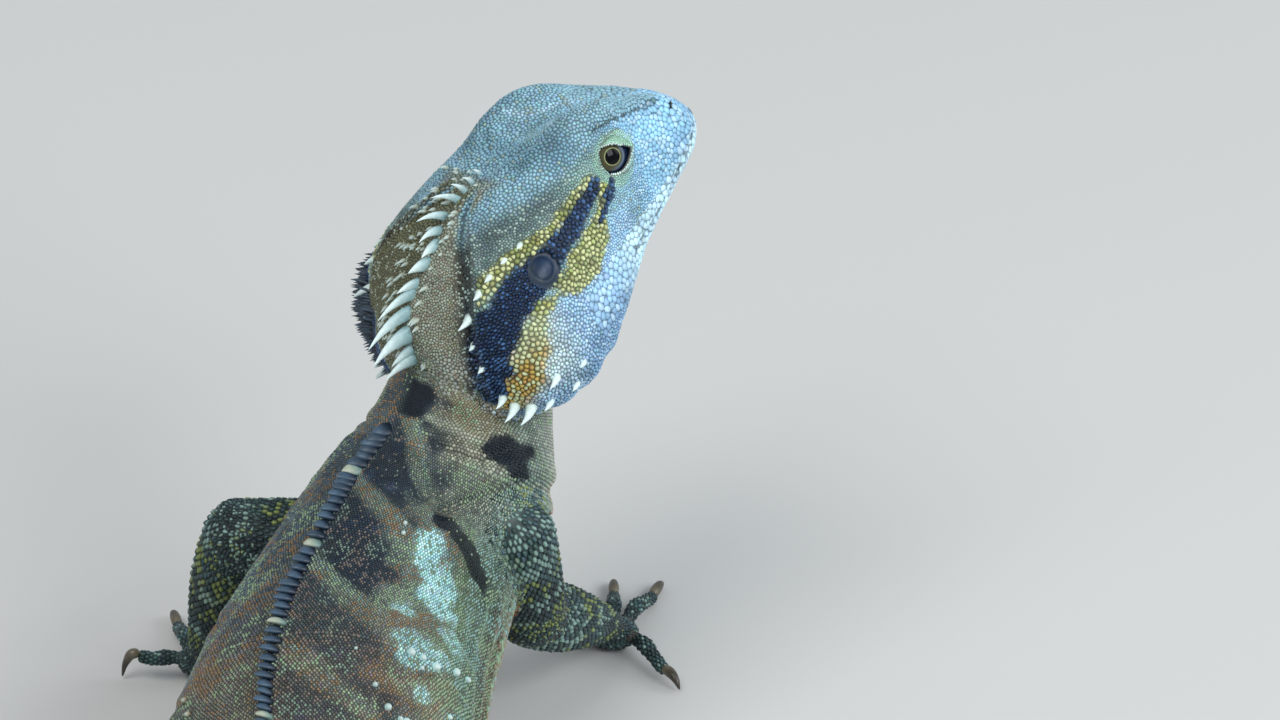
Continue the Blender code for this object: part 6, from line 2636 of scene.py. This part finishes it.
    def row(self, spikes: Spikes, places: Array, height: Array, base: tuple, dice: np.random.Generator,
            scale: Array = 1.0) -> None:
        """Add lobes on the spine at distances along the body, cream at even intervals.

        Args:
            spikes: Where they are added.
            places: Distances along.
            height: Their heights.
            base: Half length and half width.
            dice: Seeded source of small differences.
            scale: Factor on the base for each lobe.
        """
        _, back, up, right, _ = self.trunk.frame_at(places)
        roots = self.trunk.surface(places, np.zeros(len(places)), -.3)
        heights = np.broadcast_to(height, places.shape)
        scales = np.broadcast_to(scale, places.shape)
        cream = np.abs(np.mod(places - self.cream_first + 2, self.cream_every) - 2) < 1.2
        for index in range(len(places)):
            pale = PALETTE.neck_pale if cream[index] else np.array(PALETTE.scute) * dice.uniform(.7, 1.3)
            # Lobe bases darker than their tips: painted shade where the lobes meet the back.
            base_colour = np.array(PALETTE.flank) * .8 if cream[index] else PALETTE.scute_root
            tall = heights[index] * dice.uniform(.8, 1.2)
            lean = up[index] + back[index] * dice.uniform(.3, .5) - right[index] * dice.uniform(.1, .4)
            spikes.add(roots[index], lean, back[index] * .82 - right[index] * .57, tall,
                       base[0] * scales[index], base[1] * scales[index], base_colour, pale)


@dataclass
class Studio:
    """Plain floor, soft lights and the camera at the photograph's angle."""

    elevation: float = math.radians(30)
    target: tuple = (51.9, -10.0, 77.7)
    distance: float = 2400.0
    lens: float = 357.75
    aim: tuple = (30.0, -20.0, 60.0)
    floor_half: float = 4000
    floor_drop: float = .05
    floor_colour: Colour = (.60, .60, .585)
    sky_colour: Colour = (.86, .93, 1)
    sky_strength: float = .50
    # Name, place and width in metres, power in watts and colour of each lamp.
    lamps: tuple = (
        ("key", (-.7, -.5, 1.7), 1.1, 17, (1, .98, .94)),
        ("fill", (1.3, -.95, 1.25), .9, 21, (.94, .98, 1)),
        ("rim", (1.5, .3, .9), 1.0, 8, (.96, .98, 1)),
    )

    def floor(self) -> None:
        """Large pale floor under the animal."""
        corners = ((-1, -1), (1, -1), (1, 1), (-1, 1))
        points = np.array([(x * self.floor_half, y * self.floor_half, -self.floor_drop) for x, y in corners])
        ground = make_piece("floor", points, np.array([[0, 1, 2, 3]]), np.empty((0, 3), int), smooth=False)
        material = bpy.data.materials.new("floor")
        material.use_nodes = True
        shader = material.node_tree.nodes["Principled BSDF"]
        shader.inputs["Base Color"].default_value = (*self.floor_colour, 1)
        shader.inputs["Roughness"].default_value = .85
        ground.data.materials.append(material)

    def light(self, name: str, place: tuple, size: float, power: float, colour: Colour) -> None:
        """Square area light that faces the animal's shoulders.

        Args:
            name: Name of the light.
            place: Where it stands, in metres.
            size: Its width in metres.
            power: Its power in watts.
            colour: Its colour.
        """
        lamp = bpy.data.lights.new(name, "AREA")
        lamp.size = size
        lamp.energy = power
        lamp.color = colour
        thing = bpy.data.objects.new(name, lamp)
        thing.location = place
        aim = (np.array(self.aim) - MIDDLE) * MM - np.array(place)
        yaw = math.atan2(aim[1], aim[0]) - math.pi / 2
        thing.rotation_euler = (math.pi / 2 + math.atan2(aim[2], math.hypot(aim[0], aim[1])), 0, yaw)
        bpy.context.scene.collection.objects.link(thing)

    def camera(self) -> None:
        """Long lens from behind and above, framed as the photograph is."""
        view = np.array([0, math.cos(self.elevation), -math.sin(self.elevation)])
        eye = bpy.data.cameras.new("camera")
        eye.sensor_width = 36
        eye.lens = self.lens
        eye.clip_start = .1
        eye.clip_end = 30
        thing = bpy.data.objects.new("camera", eye)
        thing.location = (np.array(self.target) - MIDDLE - view * self.distance) * MM
        thing.rotation_euler = (math.pi / 2 - self.elevation, 0, 0)
        bpy.context.scene.collection.objects.link(thing)
        bpy.context.scene.camera = thing

    def build(self) -> None:
        """Set up floor, world, lights and camera."""
        self.floor()
        world = bpy.data.worlds.new("studio")
        world.use_nodes = True
        sky = world.node_tree.nodes["Background"]
        sky.inputs["Color"].default_value = (*self.sky_colour, 1)
        sky.inputs["Strength"].default_value = self.sky_strength
        bpy.context.scene.world = world
        bpy.context.scene.view_settings.view_transform = "Standard"
        for lamp in self.lamps:
            self.light(*lamp)
        self.camera()


ARM_RADII = ((8.8, 8.3, 7.2), (7.0, 6.7, 3.6))
LEG_RADII = ((13.0, 11.0, 8.0), (7.8, 7.2, 4.4))
ARM_JOINTS = {
    Side.RIGHT: ((27.5, -30, 51), (31, -20, 28), (45.5, 8, 8.6)),
    Side.LEFT: ((0, -20, 43), (-24.5, -14.5, 42), (-31.5, -2, 9.6)),
}
LEG_JOINTS = {
    Side.RIGHT: ((-6, -121, 20), (34, -94, 27), (42, -134, 8.4)),
    Side.LEFT: ((-33, -123, 20), (-76, -103, 26), (-76, -144, 8.4)),
}
# Heading, reach and width of each palm, then heading, length and lift of its digits.
HANDS = {
    Side.RIGHT: (80, 9, 5.4, ((134, 8, 0), (110, 12, 0), (90, 16, 0), (70, 17, 0), (-57, 12.5, 1.2))),
    Side.LEFT: (100, 8, 5.0, ((40, 8, 0), (66, 12, 0), (84, 16, 0), (102, 16, 0), (176, 9, 4.4))),
}
FEET = {
    Side.RIGHT: (40, 17, 5.6, ((88, 9, 0), (68, 15, 0), (50, 24, 0), (34, 36, 0), (-18, 19, 0))),
    Side.LEFT: (136, 17, 5.6, ((90, 9, 0), (110, 15, 0), (127, 24, 0), (142, 36, 0), (196, 19, 0))),
}
DIGIT_RADII = (1.75, 1.25)
TOE_RADII = (2.0, 1.3)


def legs() -> list[Leg]:
    """Both arms and both hind legs.

    Returns:
        Arm and hind leg of the left side, then of the right side.
    """
    result = []
    for side in Side:
        arm = ARM_JOINTS[side]
        hand = Paw(side, "hand", arm[2], ARM_RADII[1][2], *HANDS[side], DIGIT_RADII)
        result.append(Leg(side, ("upper_arm", "forearm", "hand"), arm, ARM_RADII, hand))
        leg = LEG_JOINTS[side]
        foot = Paw(side, "foot", leg[2], LEG_RADII[1][2], *FEET[side], TOE_RADII)
        result.append(Leg(side, ("thigh", "shin", "foot"), leg, LEG_RADII, foot))
    return result


def main() -> None:
    """Build the skin, its coat and crest, the eyes and claws, and the studio."""
    trunk = Trunk()
    head = Head()
    body = TrunkBuild(trunk, TrunkMarkings(trunk))
    face = HeadBuild(head, HeadMarkings(head))
    limbs = legs()
    regions = [body.region()] + face.regions()
    for leg in limbs:
        regions += leg.regions()
    skin = Skin(regions, face.cutters(), face.grooves() + body.grooves()).build()
    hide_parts("head", "neck", "torso", *[f"tail_{piece}" for piece in range(1, 6)],
                *[name for leg in limbs for name in leg.nodes()])
    dress(skin, SKIN_FINISH)
    for coat in body.coats() + face.coats() + [leg.coat() for leg in limbs]:
        LOG.info("%s: %d scales", coat.name, coat.build(skin))
    crest = Crest(trunk, head)
    crest.nape(skin)
    crest.jowls(skin)
    crest.fringe()
    crest.lobes()
    crest.tail_lobes()
    crest.tubercles(skin)
    face.eyes()
    face.drums()
    for leg in limbs:
        leg.paw.claws()
    Studio().build()


if __name__ == "__main__":
    logging.basicConfig(level=logging.INFO, format="%(message)s")
    main()
